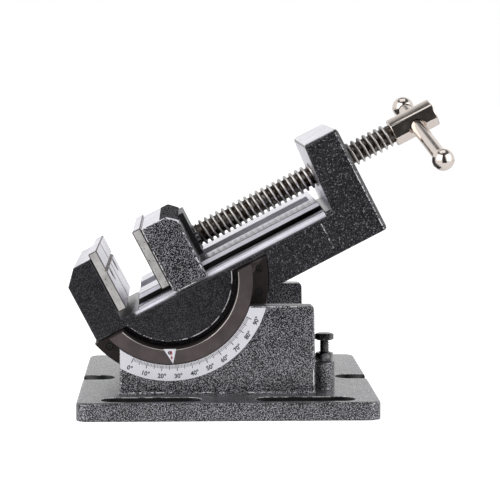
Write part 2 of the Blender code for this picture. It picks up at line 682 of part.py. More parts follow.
def thread_surface(bm, radius, root, pitch, start, end, steps):
    """Walls of a right-hand thread about Z, and its lower and upper rings at the root.

    Every turn shares its edge with the next, and the form fades in and out over half a
    turn, so that both end rings are plain circles.
    """
    count = int((end - start) / pitch - 1) * steps
    fade = steps // 2

    def point(step, share, grows):
        """A point of the form, at its place along the helix."""
        strength = min(step / fade, (count - step) / fade, 1)
        out = root + (radius - root) * max(strength, 0) * grows
        angle = math.tau * step / steps
        return (out * math.cos(angle), out * math.sin(angle), start + pitch * (step / steps + share))

    grid = []
    for step in range(count + steps + 1):
        if step <= count:
            grid.append([bm.verts.new(point(step, share, grows))
                         for share, grows in zip(FORM_SHARES, (0, 0, 1, 1))])
        else:
            grid.append([bm.verts.new(point(step, 0, 0))])
    columns = [row + [grid[step + steps][0]] for step, row in enumerate(grid[:count + 1])]
    for left, right in zip(columns, columns[1:]):
        for k in range(len(FORM_SHARES)):
            bm.faces.new((left[k], right[k], right[k + 1], left[k + 1]))
    lower = []
    upper = []
    for step in range(steps):
        angle = math.tau * step / steps
        lower.append(bm.verts.new((root * math.cos(angle), root * math.sin(angle), start - pitch / 4)))
        turn = math.tau * (count + step) / steps
        upper.append(bm.verts.new((root * math.cos(turn), root * math.sin(turn), end + pitch / 4)))
    for step in range(steps - 1):
        bm.faces.new((lower[step], lower[step + 1], grid[step + 1][0], grid[step][0]))
    bm.faces.new([lower[-1], lower[0]] + columns[0] + [grid[steps - 1][0]])
    bm.faces.new([grid[count][0], grid[count + 1][0], upper[1], upper[0]] + columns[count][:0:-1])
    for step in range(1, steps):
        bm.faces.new((grid[count + step][0], grid[count + step + 1][0], upper[(step + 1) % steps],
                      upper[step]))
    return lower, upper


def ring_steps(bm, ring, profile):
    """Carry a ring of vertices through (radius, height) steps and close its end."""
    for radius, height in profile:
        following = []
        for vert in ring:
            scale = radius / math.hypot(vert.co.x, vert.co.y)
            following.append(bm.verts.new((vert.co.x * scale, vert.co.y * scale, height)))
        for i, vert in enumerate(ring):
            bm.faces.new((ring[i - 1], vert, following[i], following[i - 1]))
        ring = following
    bm.faces.new(ring)


def make_lead_screw(steel, parent):
    """Lead screw: collared tip, trapezoidal thread and a cross-drilled hexagon boss."""
    bm = bmesh.new()
    lower, upper = thread_surface(bm, SCREW_RADIUS, SCREW_ROOT, SCREW_PITCH, THREAD_START, THREAD_END,
                                  SCREW_STEPS)
    shoulder = JAW_REAR + RETAINER_THICK + GAP + RUNNING
    ring_steps(bm, lower, [(COLLAR_RADIUS, THREAD_START - SCREW_PITCH / 4), (COLLAR_RADIUS, shoulder),
                           (NECK_RADIUS, shoulder), (NECK_RADIUS, JAW_REAR - GAP),
                           (COLLAR_RADIUS, JAW_REAR - GAP), (COLLAR_RADIUS, JAW_REAR - TIP_LENGTH)])
    ring_steps(bm, upper, [(SCREW_ROOT, BOSS_START + BOSS_FLATS / 2)])
    bmesh.ops.recalc_face_normals(bm, faces=bm.faces)
    screw = piece("lead_screw", bm, steel, parent)
    turn = HANDLE_ANGLE - 90
    boss = hexagon(BOSS_FLATS, BOSS_START, BOSS_END, turn)
    soften(boss, lambda co: near(co.z, BOSS_END) or near(co.z, BOSS_START), BOSS_CHAMFER, 1)
    fuse(screw, tool("screw_boss", boss, parent))
    return screw


def make_handle(finish, screw, parent):
    """Sliding bar through the boss, with a ball screwed on each end."""
    guide = empty("handle_axis", parent, (0, 0, HANDLE_PLACE), (0, 90, HANDLE_ANGLE - 90))
    radius = BAR_RADIUS + RUNNING
    corner = BOSS_FLATS / math.sqrt(3)
    throat = corner - (HOLE_MOUTH - radius)
    reach = corner + OVERRUN
    mouth = HOLE_MOUTH + OVERRUN
    hole = turned([(0, -reach), (mouth, -reach), (radius, -throat), (radius, throat), (mouth, reach),
                   (0, reach)], ROUND_STEPS)
    cut(screw, tool("handle_hole", hole, guide))
    inset = BALL_SOCKET + GAP
    bar = cylinder(BAR_RADIUS, -FAR_REACH + inset, NEAR_REACH - inset, ROUND_STEPS)
    piece("handle_bar", bar, finish, guide)
    socket = BAR_RADIUS + GAP
    socket_angle = math.degrees(math.acos(socket / BALL_RADIUS))
    profile = [(0, BALL_RADIUS)] + arc(BALL_RADIUS, 90, -socket_angle, SMALL_STEPS)[1:]
    profile += [(socket, -BALL_SOCKET), (0, -BALL_SOCKET)]
    piece("handle_ball_near", turned(profile, ROUND_STEPS), finish, guide, (0, 0, NEAR_REACH))
    piece("handle_ball_far", turned(profile, ROUND_STEPS), finish, guide, (0, 0, -FAR_REACH), (180, 0, 0))


def main():
    clear_scene()
    paint = material("hammer_paint", (0.020, 0.020, 0.024), 0.0, 0.35)
    ground = material("ground_steel", (0.62, 0.60, 0.58), 1.0, 0.35)
    ring_steel = material("turned_steel", (0.115, 0.095, 0.085), 1.0, 0.45)
    thread_steel = material("rolled_thread_steel", (0.30, 0.27, 0.23), 1.0, 0.35)
    nickel = material("nickel_plate", (0.66, 0.61, 0.54), 1.0, 0.18)
    black = material("black_oxide", (0.025, 0.025, 0.027), 0.6, 0.40)
    silver = material("anodised_aluminium", (0.72, 0.72, 0.74), 0.5, 0.40)

    make_base(paint)
    make_scale(silver)
    make_stop(black)
    make_lock(black)
    tilt = empty("tilt_axis", None, (AXIS_X, 0, AXIS_Z), (0, -REST_TILT, 0))
    body = make_body(paint, tilt)
    make_rings(ring_steel, black, body, tilt)
    make_pointer(silver, ground, tilt)
    make_fixed_plate(ground, black, body, tilt)
    slide = empty("jaw_slide", tilt)
    make_moving_jaw(paint, ground, black, slide)
    spin = empty("screw_axis", slide, (0, 0, SCREW_HEIGHT), (0, 90, 0))
    screw = make_lead_screw(thread_steel, spin)
    make_handle(nickel, screw, spin)


main()
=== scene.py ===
"""Tilting drill press vise, dressed round its CAD frame.

Each operator makes one piece or a group of like pieces. Castings are rounded copies of
the CAD solids, the lead screw, bolts and handle are new, and every finish is procedural.
"""
import json
import math

import bmesh
import bpy
from mathutils import Matrix, Vector


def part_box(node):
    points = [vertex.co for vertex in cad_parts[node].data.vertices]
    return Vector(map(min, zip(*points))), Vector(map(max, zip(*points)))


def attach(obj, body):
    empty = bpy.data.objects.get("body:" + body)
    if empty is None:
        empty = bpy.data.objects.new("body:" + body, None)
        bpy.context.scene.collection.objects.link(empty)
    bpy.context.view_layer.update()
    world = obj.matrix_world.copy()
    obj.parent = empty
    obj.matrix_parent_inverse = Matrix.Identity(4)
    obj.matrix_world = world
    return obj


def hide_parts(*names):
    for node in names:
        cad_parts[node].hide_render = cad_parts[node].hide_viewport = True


bl_info = {
    "name": "Tilting Drill Press Vise",
    "version": (1, 0, 0),
    "blender": (4, 5, 0),
    "location": "View3D > Sidebar > Vise",
    "description": "Castings, lead screw, scale and finishes of a tilting drill press vise",
    "category": "Add Mesh",
}

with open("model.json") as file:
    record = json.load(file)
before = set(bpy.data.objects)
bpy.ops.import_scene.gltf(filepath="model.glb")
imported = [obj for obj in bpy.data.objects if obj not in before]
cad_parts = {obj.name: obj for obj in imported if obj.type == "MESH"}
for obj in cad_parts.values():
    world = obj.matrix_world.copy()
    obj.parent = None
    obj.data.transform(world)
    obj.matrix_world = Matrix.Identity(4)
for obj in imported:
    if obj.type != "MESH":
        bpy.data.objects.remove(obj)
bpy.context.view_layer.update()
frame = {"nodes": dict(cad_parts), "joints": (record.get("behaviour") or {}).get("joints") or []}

MM = 0.001
WELD = 0.000002
FLAT_ANGLE = 0.5
CORNER_ANGLE = 50
SMOOTH_ANGLE = 38
TOUCH = 0.00005


def linear(code):
    """An sRGB hex colour as linear red, green and blue."""
    parts = [int(code[i:i + 2], 16) / 255 for i in (0, 2, 4)]
    return tuple(part / 12.92 if part <= 0.04045 else ((part + 0.055) / 1.055) ** 2.4 for part in parts)


def length(name, default, description):
    """A length property in metres."""
    return bpy.props.FloatProperty(name=name, default=default, description=description,
                                   min=0, subtype="DISTANCE", unit="LENGTH")


def colour(name, code, description):
    """A colour property with an sRGB hex default."""
    return bpy.props.FloatVectorProperty(name=name, default=linear(code), description=description,
                                         size=3, min=0, max=1, subtype="COLOR")


class ViseSizes(bpy.types.PropertyGroup):
    """Sizes that the frame doesn't give."""
    cast_round: length("Casting rounding", 0.0009, "Radius on the castings' free edges")
    machined_round: length("Machined edge break", 0.0003, "Width of the broken edges on machined faces")
    foot_fillet: length("Foot fillet", 0.0016, "Radius where the cheeks meet the base plate")
    thread_pitch: length("Lead screw pitch", 0.004, "Travel of the lead screw in one turn")
    thread_crest: length("Lead screw radius", 0.008, "Radius over the lead screw's crests")
    thread_root: length("Lead screw root", 0.0058, "Radius at the bottom of the lead screw's thread")
    thread_start: length("Thread start", 0.0265, "Where the thread begins on the lead screw")
    collar: length("Collar radius", 0.0068, "Radius of the lead screw's collars")
    neck: length("Neck radius", 0.0050, "Radius of the neck that the retainer holds")
    bar: length("Handle bar radius", 0.0045, "Radius of the handle bar")
    ball: length("Handle ball radius", 0.00688, "Radius of the handle's balls")
    # The strip along the castings' edges is near white: partly chipped paint, partly painted highlight where
    # the edge catches light
    chip_and_glint: length("Chipped strip", 0.00045, "Width of the strip that has chipped along the castings' edges")
    base_plate: length("Base plate", 0.011, "Thickness of the base plate")
    ring_bore: length("Ring bore", 0.0415, "Inner radius of the tilt rings")
    bolt_pitch: length("Bolt pitch", 0.001, "Pitch of the stop bolt's thread")
    bolt_shank: length("Bolt shank radius", 0.003, "Radius of the stop bolt's and lock screws' thread")
    numeral: length("Numeral size", 0.0037, "Size of the figures on the angle scale")
    vein: length("Vein spacing", 0.00057, "Half the distance between the light veins of the paint")


class ViseColours(bpy.types.PropertyGroup):
    """Colours of the finishes."""
    paint: colour("Paint", "131318", "Charcoal ground of the vein paint")
    vein: colour("Vein", "C2C1C8", "Light veins of the paint")
    iron: colour("Machined iron", "E2E0EA", "Milled faces of the castings")
    plate: colour("Jaw plates", "D2D0CE", "Ground steel of the jaw plates")
    ring: colour("Rings", "675E5E", "Turned and browned steel")
    thread: colour("Lead screw", "C6C3C0", "Crests and flanks of the lead screw")
    grime: colour("Grime", "2E231A", "Old oil in the thread's roots")
    nickel: colour("Nickel", "D9CFC8", "Polished nickel plate")
    oxide: colour("Black oxide", "4E4D50", "Black oxide on small steel parts")
    scale: colour("Scale plate", "E6E5EC", "Satin anodised aluminium")
    ink: colour("Ink", "1A1A1E", "Printed figures and main lines")
    fine: colour("Fine lines", "77767C", "Printed lines of single degrees")
    red: colour("Red ink", "A01828", "Printed mark on the pointer")


def sizes():
    """The sizes that the scene holds."""
    return bpy.context.scene.vise_sizes


def colours():
    """The colours that the scene holds."""
    return bpy.context.scene.vise_colours


def joint(name):
    """A joint of the frame, by name."""
    return next(item for item in frame["joints"] if item["name"] == name)


def frame_at(origin, along_x, along_z):
    """A placement whose own X and Z look along the two directions."""
    x = Vector(along_x).normalized()
    z = Vector(along_z).normalized()
    y = z.cross(x)
    turned_axes = Matrix((x, y, z)).transposed().to_4x4()
    return Matrix.Translation(Vector(origin)) @ turned_axes


# The tilted body's own frame: X along the bed, Y across, Z away from the bed
ALONG = Vector(joint("jaw_slide")["axis"]).normalized()
ACROSS = Vector((0, 1, 0))
AWAY = ALONG.cross(ACROSS)
TILT = frame_at(joint("tilt")["pos_m"], ALONG, AWAY)
TILT_BACK = TILT.inverted()

# The lead screw's frame, with Z along the screw, and the handle bar's
SCREW = frame_at(joint("screw_turn")["pos_m"], -AWAY, ALONG)
BAR_AXIS = Vector(joint("handle_slide")["axis"]).normalized()


def local_box(node, back=TILT_BACK):
    """Lowest and highest corners of a CAD node in a frame of its own."""
    points = [back @ vert.co for vert in frame["nodes"][node].data.vertices]
    low = Vector([min(point[i] for point in points) for i in range(3)])
    high = Vector([max(point[i] for point in points) for i in range(3)])
    return low, high


def merged(node):
    """A copy of a CAD node with its triangles joined and its flat faces whole."""
    bm = bmesh.new()
    bm.from_mesh(frame["nodes"][node].data)
    bmesh.ops.remove_doubles(bm, verts=bm.verts, dist=WELD)
    bmesh.ops.dissolve_limit(bm, angle_limit=math.radians(FLAT_ANGLE), verts=bm.verts, edges=bm.edges)
    return bm


def is_corner(edge):
    """True for an edge that turns by a clear angle."""
    return edge.is_manifold and edge.calc_face_angle(0) > math.radians(CORNER_ANGLE)


def concave(edge):
    """True for an inside corner."""
    return not edge.is_convex


def round_edges(bm, chosen, radius, segments, index=None, clamp=True):
    """Round the corner edges that pass the test, and give the new faces a material index."""
    edges = [edge for edge in bm.edges if is_corner(edge) and chosen(edge)]
    made = bmesh.ops.bevel(bm, geom=edges, offset=radius, offset_type="OFFSET", segments=segments,
                           profile=0.5, affect="EDGES", clamp_overlap=clamp, material=-1)
    if index is not None:
        for face in made["faces"]:
            face.material_index = index
    return made["faces"]


def edge_strip(bm, chosen, width, index):
    """Mark off a strip along the border of the chosen flat faces, and give it a material index."""
    faces = [face for face in bm.faces if chosen(face)]
    made = bmesh.ops.inset_region(bm, faces=faces, thickness=width, use_even_offset=True,
                                  use_boundary=True)
    for face in made["faces"]:
        face.material_index = index


def split(bm, point, normal, dist=WELD, outer=False):
    """Divide all faces along a plane, and clear what lies outside it if asked."""
    return bmesh.ops.bisect_plane(bm, geom=bm.verts[:] + bm.edges[:] + bm.faces[:], dist=dist,
                                  plane_co=point, plane_no=normal, clear_outer=outer)


def side_face(level):
    """A test for faces that lie in one of the two upright planes at a distance from the middle."""
    return lambda face: abs(face.normal.y) > 0.99 and abs(abs(face.calc_center_median().y) - level) < TOUCH


def middle(edge, back=None):
    """Middle of an edge, in a frame of its own if one is given."""
    point = (edge.verts[0].co + edge.verts[1].co) / 2
    return back @ point if back else point


def finish_piece(name, bm, body, materials, replaced=(), place=None, weighted=False):
    """Make a placed, shaded and painted object that rides on a CAD body."""
    if place is not None:
        bmesh.ops.transform(bm, matrix=place, verts=bm.verts)
    mesh = bpy.data.meshes.new(name)
    bm.to_mesh(mesh)
    bm.free()
    mesh.shade_smooth()
    mesh.set_sharp_from_angle(angle=math.radians(SMOOTH_ANGLE))
    for material in materials:
        mesh.materials.append(material)
    obj = bpy.data.objects.new(name, mesh)
    bpy.context.scene.collection.objects.link(obj)
    if weighted:
        weights = obj.modifiers.new("even_shading", "WEIGHTED_NORMAL")
        weights.keep_sharp = True
    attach(obj, body)
    if replaced:
        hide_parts(*replaced)
    return obj


def turned(profile, steps):
    """A closed solid turned about Z from (radius, height) points that start and end on the axis."""
    bm = bmesh.new()
    verts = [bm.verts.new((radius, 0, height)) for radius, height in profile]
    edges = [bm.edges.new(pair) for pair in zip(verts, verts[1:])]
    bmesh.ops.spin(bm, geom=verts + edges, cent=(0, 0, 0), axis=(0, 0, 1),
                   angle=math.tau, steps=steps, use_merge=True)
    bmesh.ops.remove_doubles(bm, verts=bm.verts, dist=WELD)
    bmesh.ops.recalc_face_normals(bm, faces=bm.faces)
    return bm


def hexagon_radius(angle, flats):
    """Distance from the middle of a hexagon to its outline, with a corner at angle zero."""
    side = math.tau / 6
    return flats / 2 / math.cos(angle % side - side / 2)


def carry(bm, edges, profile, flats=0, turn=0):
    """Extrude a loop about Z through (largest radius, height) steps.

    Where flats are given, the outline is a hexagon that the radius rounds off at its corners.
    """
    for radius, height in profile:
        made = bmesh.ops.extrude_edge_only(bm, edges=edges)["geom"]
        verts = [item for item in made if isinstance(item, bmesh.types.BMVert)]
        ring = set(verts)
        edges = [item for item in made if isinstance(item, bmesh.types.BMEdge)
                 and item.verts[0] in ring and item.verts[1] in ring]
        for vert in verts:
            angle = math.atan2(vert.co.y, vert.co.x)
            out = min(radius, hexagon_radius(angle - turn, flats)) if flats else radius
            vert.co = (out * math.cos(angle), out * math.sin(angle), height)
    return edges


def close(bm, edges):
    """Fill a loop with one face and turn all faces outwards."""
    bmesh.ops.contextual_create(bm, geom=edges)
    bmesh.ops.recalc_face_normals(bm, faces=bm.faces)


# Thread form of one pitch: share of the way along it, and share of its depth
THREAD_FORM_SHARES = ((0.0, 0.0), (0.28, 0.0), (0.33, 0.12), (0.42, 0.74), (0.46, 0.90), (0.52, 0.98),
                      (0.60, 1.0), (0.68, 0.98), (0.74, 0.90), (0.78, 0.74), (0.87, 0.12), (0.92, 0.0))


def thread(bm, crest, root, pitch, start, end, steps):
    """A right-hand thread about Z between two heights; gives its lower and upper end loops."""
    turns = math.ceil((end - start) / pitch) + 2
    depth = crest - root
    verts = [bm.verts.new((root + depth * deep, 0, start - pitch + pitch * share))
             for share, deep in THREAD_FORM_SHARES]
    verts.append(bm.verts.new((root, 0, start)))
    edges = [bm.edges.new(pair) for pair in zip(verts, verts[1:])]
    bmesh.ops.spin(bm, geom=verts + edges, cent=(0, 0, 0), axis=(0, 0, 1),
                   dvec=(0, 0, pitch / steps), angle=math.tau * turns, steps=steps * turns)
    bmesh.ops.remove_doubles(bm, verts=bm.verts, dist=WELD)
    for vert in bm.verts:
        inside = max(min(vert.co.z - start, end - vert.co.z), 0)
        out = math.hypot(vert.co.x, vert.co.y)
        kept = min(out, root + inside)
        vert.co.x *= kept / out
        vert.co.y *= kept / out
    loops = []
    for height, side in ((start, -1), (end, 1)):
        cut = split(bm, (0, 0, height), (0, 0, side), WELD / 4, True)
        loops.append([item for item in cut["geom_cut"] if isinstance(item, bmesh.types.BMEdge)])
    return loops


def text_mesh(words, height, depth, place, bm, bold=0.0):
    """Add raised figures to a bmesh, centred on the placement and facing its Z."""
    curve = bpy.data.curves.new("figure", "FONT")
    curve.body = words
    curve.size = height
    curve.align_x = "CENTER"
    curve.align_y = "CENTER"
    curve.extrude = depth
    curve.offset = bold
    curve.resolution_u = 4
    obj = bpy.data.objects.new("figure", curve)
    mesh = bpy.data.meshes.new_from_object(obj)
    mesh.transform(place)
    bm.from_mesh(mesh)
    bpy.data.objects.remove(obj)
    bpy.data.curves.remove(curve)
    bpy.data.meshes.remove(mesh)


# Materials


def add(tree, kind, inputs=None, **settings):
    """Add a node with its settings; an input is given a value, or linked where it gets a socket."""
    node = tree.nodes.new(kind)
    for name, value in settings.items():
        setattr(node, name, value)
    for key, value in (inputs or {}).items():
        if isinstance(value, bpy.types.NodeSocket):
            tree.links.new(value, node.inputs[key])
        else:
            node.inputs[key].default_value = value
    return node


def calc(tree, operation, *values):
    """The result of a sum on one or two values."""
    return add(tree, "ShaderNodeMath", dict(enumerate(values)), operation=operation).outputs[0]


def feed(tree, shader, **inputs):
    """Link patterns to the shader's inputs, named with underscores for spaces."""
    for key, value in inputs.items():
        tree.links.new(value, shader.inputs[key.replace("_", " ")])


def start_material(name, **values):
    """A new material, its node tree, its shader and the piece's own coordinates."""
    made = bpy.data.materials.new(name)
    made.use_nodes = True
    tree = made.node_tree
    shader = tree.nodes["Principled BSDF"]
    for key, value in values.items():
        shader.inputs[key.replace("_", " ")].default_value = value
    place = add(tree, "ShaderNodeTexCoord").outputs["Object"]
    return made, tree, shader, place


def remap(tree, value, low, high, out_low=0.0, out_high=1.0):
    """Stretch a value from one range to another, with its ends held."""
    return add(tree, "ShaderNodeMapRange", {"Value": value, "From Min": low, "From Max": high,
                                            "To Min": out_low, "To Max": out_high}).outputs["Result"]


def blend_colours(tree, share, first, second):
    """Mix two colours by a share."""
    mix = add(tree, "ShaderNodeMix", {0: share}, data_type="RGBA")
    for index, value in ((6, first), (7, second)):
        if isinstance(value, bpy.types.NodeSocket):
            tree.links.new(value, mix.inputs[index])
        else:
            mix.inputs[index].default_value = (*value, 1.0)
    return mix.outputs[2]


def noise(tree, place, size, **inputs):
    """Noise whose patches are about the given size in metres."""
    values = {"Vector": place, "Scale": 1.0 / size}
    values.update({key.replace("_", " "): value for key, value in inputs.items()})
    return add(tree, "ShaderNodeTexNoise", values).outputs["Fac"]


def stretched(tree, place, scale, location=(0, 0, 0), rotation=(0, 0, 0)):
    """The piece's coordinates, turned and stretched."""
    return add(tree, "ShaderNodeMapping", {"Vector": place, "Scale": scale, "Location": location,
                                           "Rotation": rotation}).outputs["Vector"]


def bump(tree, shader, height, distance, strength=1.0):
    """Raise the surface by a height pattern, up to a distance in metres."""
    node = add(tree, "ShaderNodeBump", {"Height": height, "Distance": distance, "Strength": strength})
    feed(tree, shader, Normal=node.outputs["Normal"])


# Level of the noise where a vein begins, and how far it drifts over the casting
VEIN_LEVEL = 0.560
VEIN_DRIFT = 0.025


def vein_paint(name, bright, specks=0.0, chips_and_glint=0.0, gloss=0.35):
    """Silver vein enamel on cast iron, sprayed and baked.

    Flakes of aluminium have gathered in short worm-like veins over a nearly black ground, and mirror
    what is near them. A clear coat shines at a low angle. Specks are stray flakes, more of them
    towards the post. Chips are places along an edge where the iron shows bright; the same near-white
    strip also stands for light caught on the edge, so it is partly wear and partly painted highlight.
    """
    tint = colours()
    made, tree, shader, place = start_material(name, Coat_Weight=gloss, Coat_Roughness=0.15,
                                               Specular_IOR_Level=gloss)
    wave = noise(tree, place, sizes().vein, Detail=0.0, Distortion=0.35)
    drift = noise(tree, place, 9 * MM, Detail=1.0)
    edge = remap(tree, drift, 0.3, 0.7, VEIN_LEVEL + VEIN_DRIFT, VEIN_LEVEL - VEIN_DRIFT)
    over = calc(tree, "SUBTRACT", wave, edge)
    veins = remap(tree, over, -0.015, 0.045)
    fleck = remap(tree, noise(tree, place, 0.5 * MM, Detail=0.0), 0.35, 0.65, 0.45, 1.0)
    share = calc(tree, "MULTIPLY", veins, fleck)
    share = calc(tree, "MULTIPLY", share, bright)
    if specks:
        along = add(tree, "ShaderNodeSeparateXYZ", {"Vector": place}).outputs["X"]
        most = remap(tree, along, -20 * MM, 70 * MM, specks / 5, specks)
        stray = noise(tree, place, 0.75 * MM, Detail=0.0, Distortion=0.6)
        stray = remap(tree, stray, 0.68, 0.73, 0.0, most)
        share = calc(tree, "MAXIMUM", share, stray)
    base = blend_colours(tree, share, tint.paint, tint.vein)
    metal = remap(tree, share, 0.0, 1.0, 0.0, 0.85)
    if chips_and_glint:
        # Chips: near white where the paint is off along an edge, and where the edge would catch light; partly
        # wear, partly painted highlight
        run = noise(tree, place, 6 * MM, Detail=1.0)
        level = remap(tree, run, 0.38, 0.62, chips_and_glint + 0.16, chips_and_glint - 0.10)
        crumb = noise(tree, place, 0.9 * MM, Detail=2.0, Roughness=0.6)
        off = calc(tree, "SUBTRACT", crumb, level)
        bare_and_glint = remap(tree, off, -0.01, 0.03)
        base = blend_colours(tree, bare_and_glint, base, linear("F2F0F4"))
        metal = remap(tree, bare_and_glint, 0.0, 1.0, metal, 0.15)
        share = calc(tree, "MAXIMUM", share, bare_and_glint)
        feed(tree, shader, Coat_Weight=remap(tree, bare_and_glint, 0.0, 1.0, gloss, 0.0))
    feed(tree, shader, Base_Color=base)
    feed(tree, shader, Metallic=metal)
    feed(tree, shader, Roughness=remap(tree, share, 0.0, 1.0, 0.30, 0.40))
    bump(tree, shader, share, 0.03 * MM)
    return made


def black_enamel_and_shade():
    """Plain black enamel, oily from the sliding jaw: soft sheen with a few dull smears. Its black also stands
    in for shade: painted shade in the base's slots, the bed's grooves and on the ring screws' heads.
    """
    made, tree, shader, place = start_material("black_enamel_and_painted_shade", Base_Color=(*linear("101012"), 1.0))
    smear = noise(tree, stretched(tree, place, (1, 4, 4)), 6 * MM, Detail=3.0)
    feed(tree, shader, Roughness=remap(tree, smear, 0.3, 0.7, 0.30, 0.50))
    return made


def milled_iron(name, metal, smooth, rough):
    """Grey cast iron, milled bright: pale, with fine tool lines and faint stains.

    Upright faces are duller, as the cutter's side rubs them, and scatter more of the light.
    """
    made, tree, shader, place = start_material(name, Metallic=metal)
    lines = noise(tree, stretched(tree, place, (1, 14, 1)), 4 * MM, Detail=3.0, Roughness=0.6)
    stain = noise(tree, place, 14 * MM, Detail=3.0)
    tint = colours().iron
    darker = [0.84 * part for part in tint]
    feed(tree, shader, Base_Color=blend_colours(tree, remap(tree, stain, 0.35, 0.7), tint, darker))
    feed(tree, shader, Roughness=remap(tree, lines, 0.3, 0.7, smooth, rough))
    bump(tree, shader, lines, 0.006 * MM)
    return made


def ground_steel():
    """Hardened steel, surface ground: brushed pale grey with fine scratches and a few dark pits."""
    made, tree, shader, place = start_material("ground_steel", Metallic=0.4)
    turn = (0, -math.atan2(ALONG.z, ALONG.x), 0)
    flat = stretched(tree, place, (1, 1, 1), rotation=turn)
    grind = noise(tree, stretched(tree, flat, (18, 1, 1.5)), 6 * MM, Detail=4.0, Roughness=0.65)
    cloud = noise(tree, place, 6 * MM, Detail=3.0)
    pits = remap(tree, noise(tree, place, 0.9 * MM, Detail=2.0), 0.66, 0.70)
    tint = colours().plate
    darker = [0.66 * part for part in tint]
    base = blend_colours(tree, remap(tree, cloud, 0.35, 0.75), tint, darker)
    base = blend_colours(tree, pits, base, linear("4A4642"))
    feed(tree, shader, Base_Color=base)
    feed(tree, shader, Roughness=remap(tree, grind, 0.3, 0.7, 0.34, 0.50))
    bump(tree, shader, grind, 0.012 * MM)
    return made


def browned_steel(name, shade):
    """Steel turned on a lathe and browned: dull brown-grey with fine circular tool lines.

    The flange's copy is darker than the rib by its shade: painted shade, as the flange is set back behind the
    rib.
    """
    made, tree, shader, place = start_material(name, Metallic=1.0)
    centred = stretched(tree, place, (1, 0, 1), location=(-TILT.translation.x, 0, -TILT.translation.z))
    radius = add(tree, "ShaderNodeVectorMath", {0: centred}, operation="LENGTH").outputs["Value"]
    lines = add(tree, "ShaderNodeTexNoise", {"W": radius, "Scale": 1.0 / (0.45 * MM), "Detail": 2.0},
                noise_dimensions="1D").outputs["Fac"]
    cloud = noise(tree, place, 8 * MM, Detail=3.0)
    tint = [shade * part for part in colours().ring]
    darker = [0.72 * part for part in tint]
    feed(tree, shader, Base_Color=blend_colours(tree, remap(tree, cloud, 0.3, 0.7), tint, darker))
    feed(tree, shader, Roughness=remap(tree, lines, 0.3, 0.7, 0.42, 0.56))
    bump(tree, shader, lines, 0.01 * MM)
    return made


def cut_edge_steel():
    """Steel where a tool has just broken the edge: bright and clean."""
    made, tree, shader, place = start_material("bright_cut_edge", Metallic=1.0,
                                               Base_Color=(*linear("CFC9C2"), 1.0))
    lines = noise(tree, place, 1.5 * MM, Detail=2.0)
    feed(tree, shader, Roughness=remap(tree, lines, 0.3, 0.7, 0.28, 0.42))
    return made


def thread_steel():
    """Machined steel thread: bright crests and flanks with brown oil in the roots."""
    made, tree, shader, place = start_material("machined_thread_steel", Metallic=1.0)
    back = SCREW.inverted()
    turn = back.to_euler("XYZ")
    centred = stretched(tree, place, (1, 1, 1), location=back.translation, rotation=turn)
    across = add(tree, "ShaderNodeVectorMath", {0: centred, 1: (1, 1, 0)}, operation="MULTIPLY").outputs[0]
    radius = add(tree, "ShaderNodeVectorMath", {0: across}, operation="LENGTH").outputs["Value"]
    root = sizes().thread_root
    crest = sizes().thread_crest
    smear = noise(tree, place, 2.5 * MM, Detail=3.0)
    blur = remap(tree, smear, 0.3, 0.7, -0.3 * MM, 0.5 * MM)
    level = calc(tree, "ADD", radius, blur)
    clean = remap(tree, level, root, crest - 0.7 * MM)
    tint = colours()
    feed(tree, shader, Base_Color=blend_colours(tree, clean, tint.grime, tint.thread))
    feed(tree, shader, Roughness=remap(tree, clean, 0.0, 1.0, 0.46, 0.32))
    bump(tree, shader, smear, 0.02 * MM)
    return made


def nickel_plate():
    """Polished nickel on steel: warm, mirror-like, with a light haze from handling."""
    made, tree, shader, place = start_material("polished_nickel_plate", Metallic=1.0,
                                               Base_Color=(*colours().nickel, 1.0))
    haze = noise(tree, place, 5 * MM, Detail=4.0)
    feed(tree, shader, Roughness=remap(tree, haze, 0.35, 0.7, 0.07, 0.20))
    bump(tree, shader, noise(tree, place, 1.2 * MM, Detail=1.0), 0.003 * MM)
    return made


def black_oxide():
    """Steel blackened in a hot oxide bath and oiled: a soft black sheen."""
    made, tree, shader, place = start_material("black_oxide_steel", Metallic=1.0)
    wear = remap(tree, noise(tree, place, 2 * MM, Detail=3.0), 0.45, 0.75)
    tint = colours().oxide
    feed(tree, shader, Base_Color=blend_colours(tree, wear, tint, linear("7B7876")))
    feed(tree, shader, Roughness=remap(tree, wear, 0.0, 1.0, 0.20, 0.34))
    return made


def scale_plate():
    """Satin anodised aluminium sheet: pale, faintly lavender and finely grained."""
    made, tree, shader, place = start_material("satin_anodised_aluminium", Metallic=0.1)
    grain = noise(tree, stretched(tree, place, (1, 1, 6)), 1.2 * MM, Detail=3.0)
    tint = colours().scale
    darker = [0.90 * part for part in tint]
    feed(tree, shader, Base_Color=blend_colours(tree, remap(tree, grain, 0.35, 0.7), tint, darker))
    feed(tree, shader, Roughness=remap(tree, grain, 0.3, 0.7, 0.38, 0.50))
    return made


def bare_aluminium_and_glint():
    """The scale's sheared edge, where the anodised coat is off: nearly white. The same finish draws painted
    highlights: three glint lines on the scale and, in part, the pointer's rounded edges.
    """
    made, tree, shader, place = start_material("bare_aluminium_edge_and_glint", Metallic=0.3)
    grain = noise(tree, place, 1.5 * MM, Detail=2.0)
    feed(tree, shader, Base_Color=blend_colours(tree, grain, linear("F4F3F8"), linear("E4E2EA")))
    shader.inputs["Roughness"].default_value = 0.35
    return made


def printed_ink(name, tint):
    """Screen printed ink: matt, and a little thin in places."""
    made, tree, shader, place = start_material(name, Roughness=0.55)
    thin = remap(tree, noise(tree, place, 0.7 * MM, Detail=2.0), 0.35, 0.75)
    feed(tree, shader, Base_Color=blend_colours(tree, thin, tint, [part + 0.02 for part in tint]))
    return made


finishes = {}


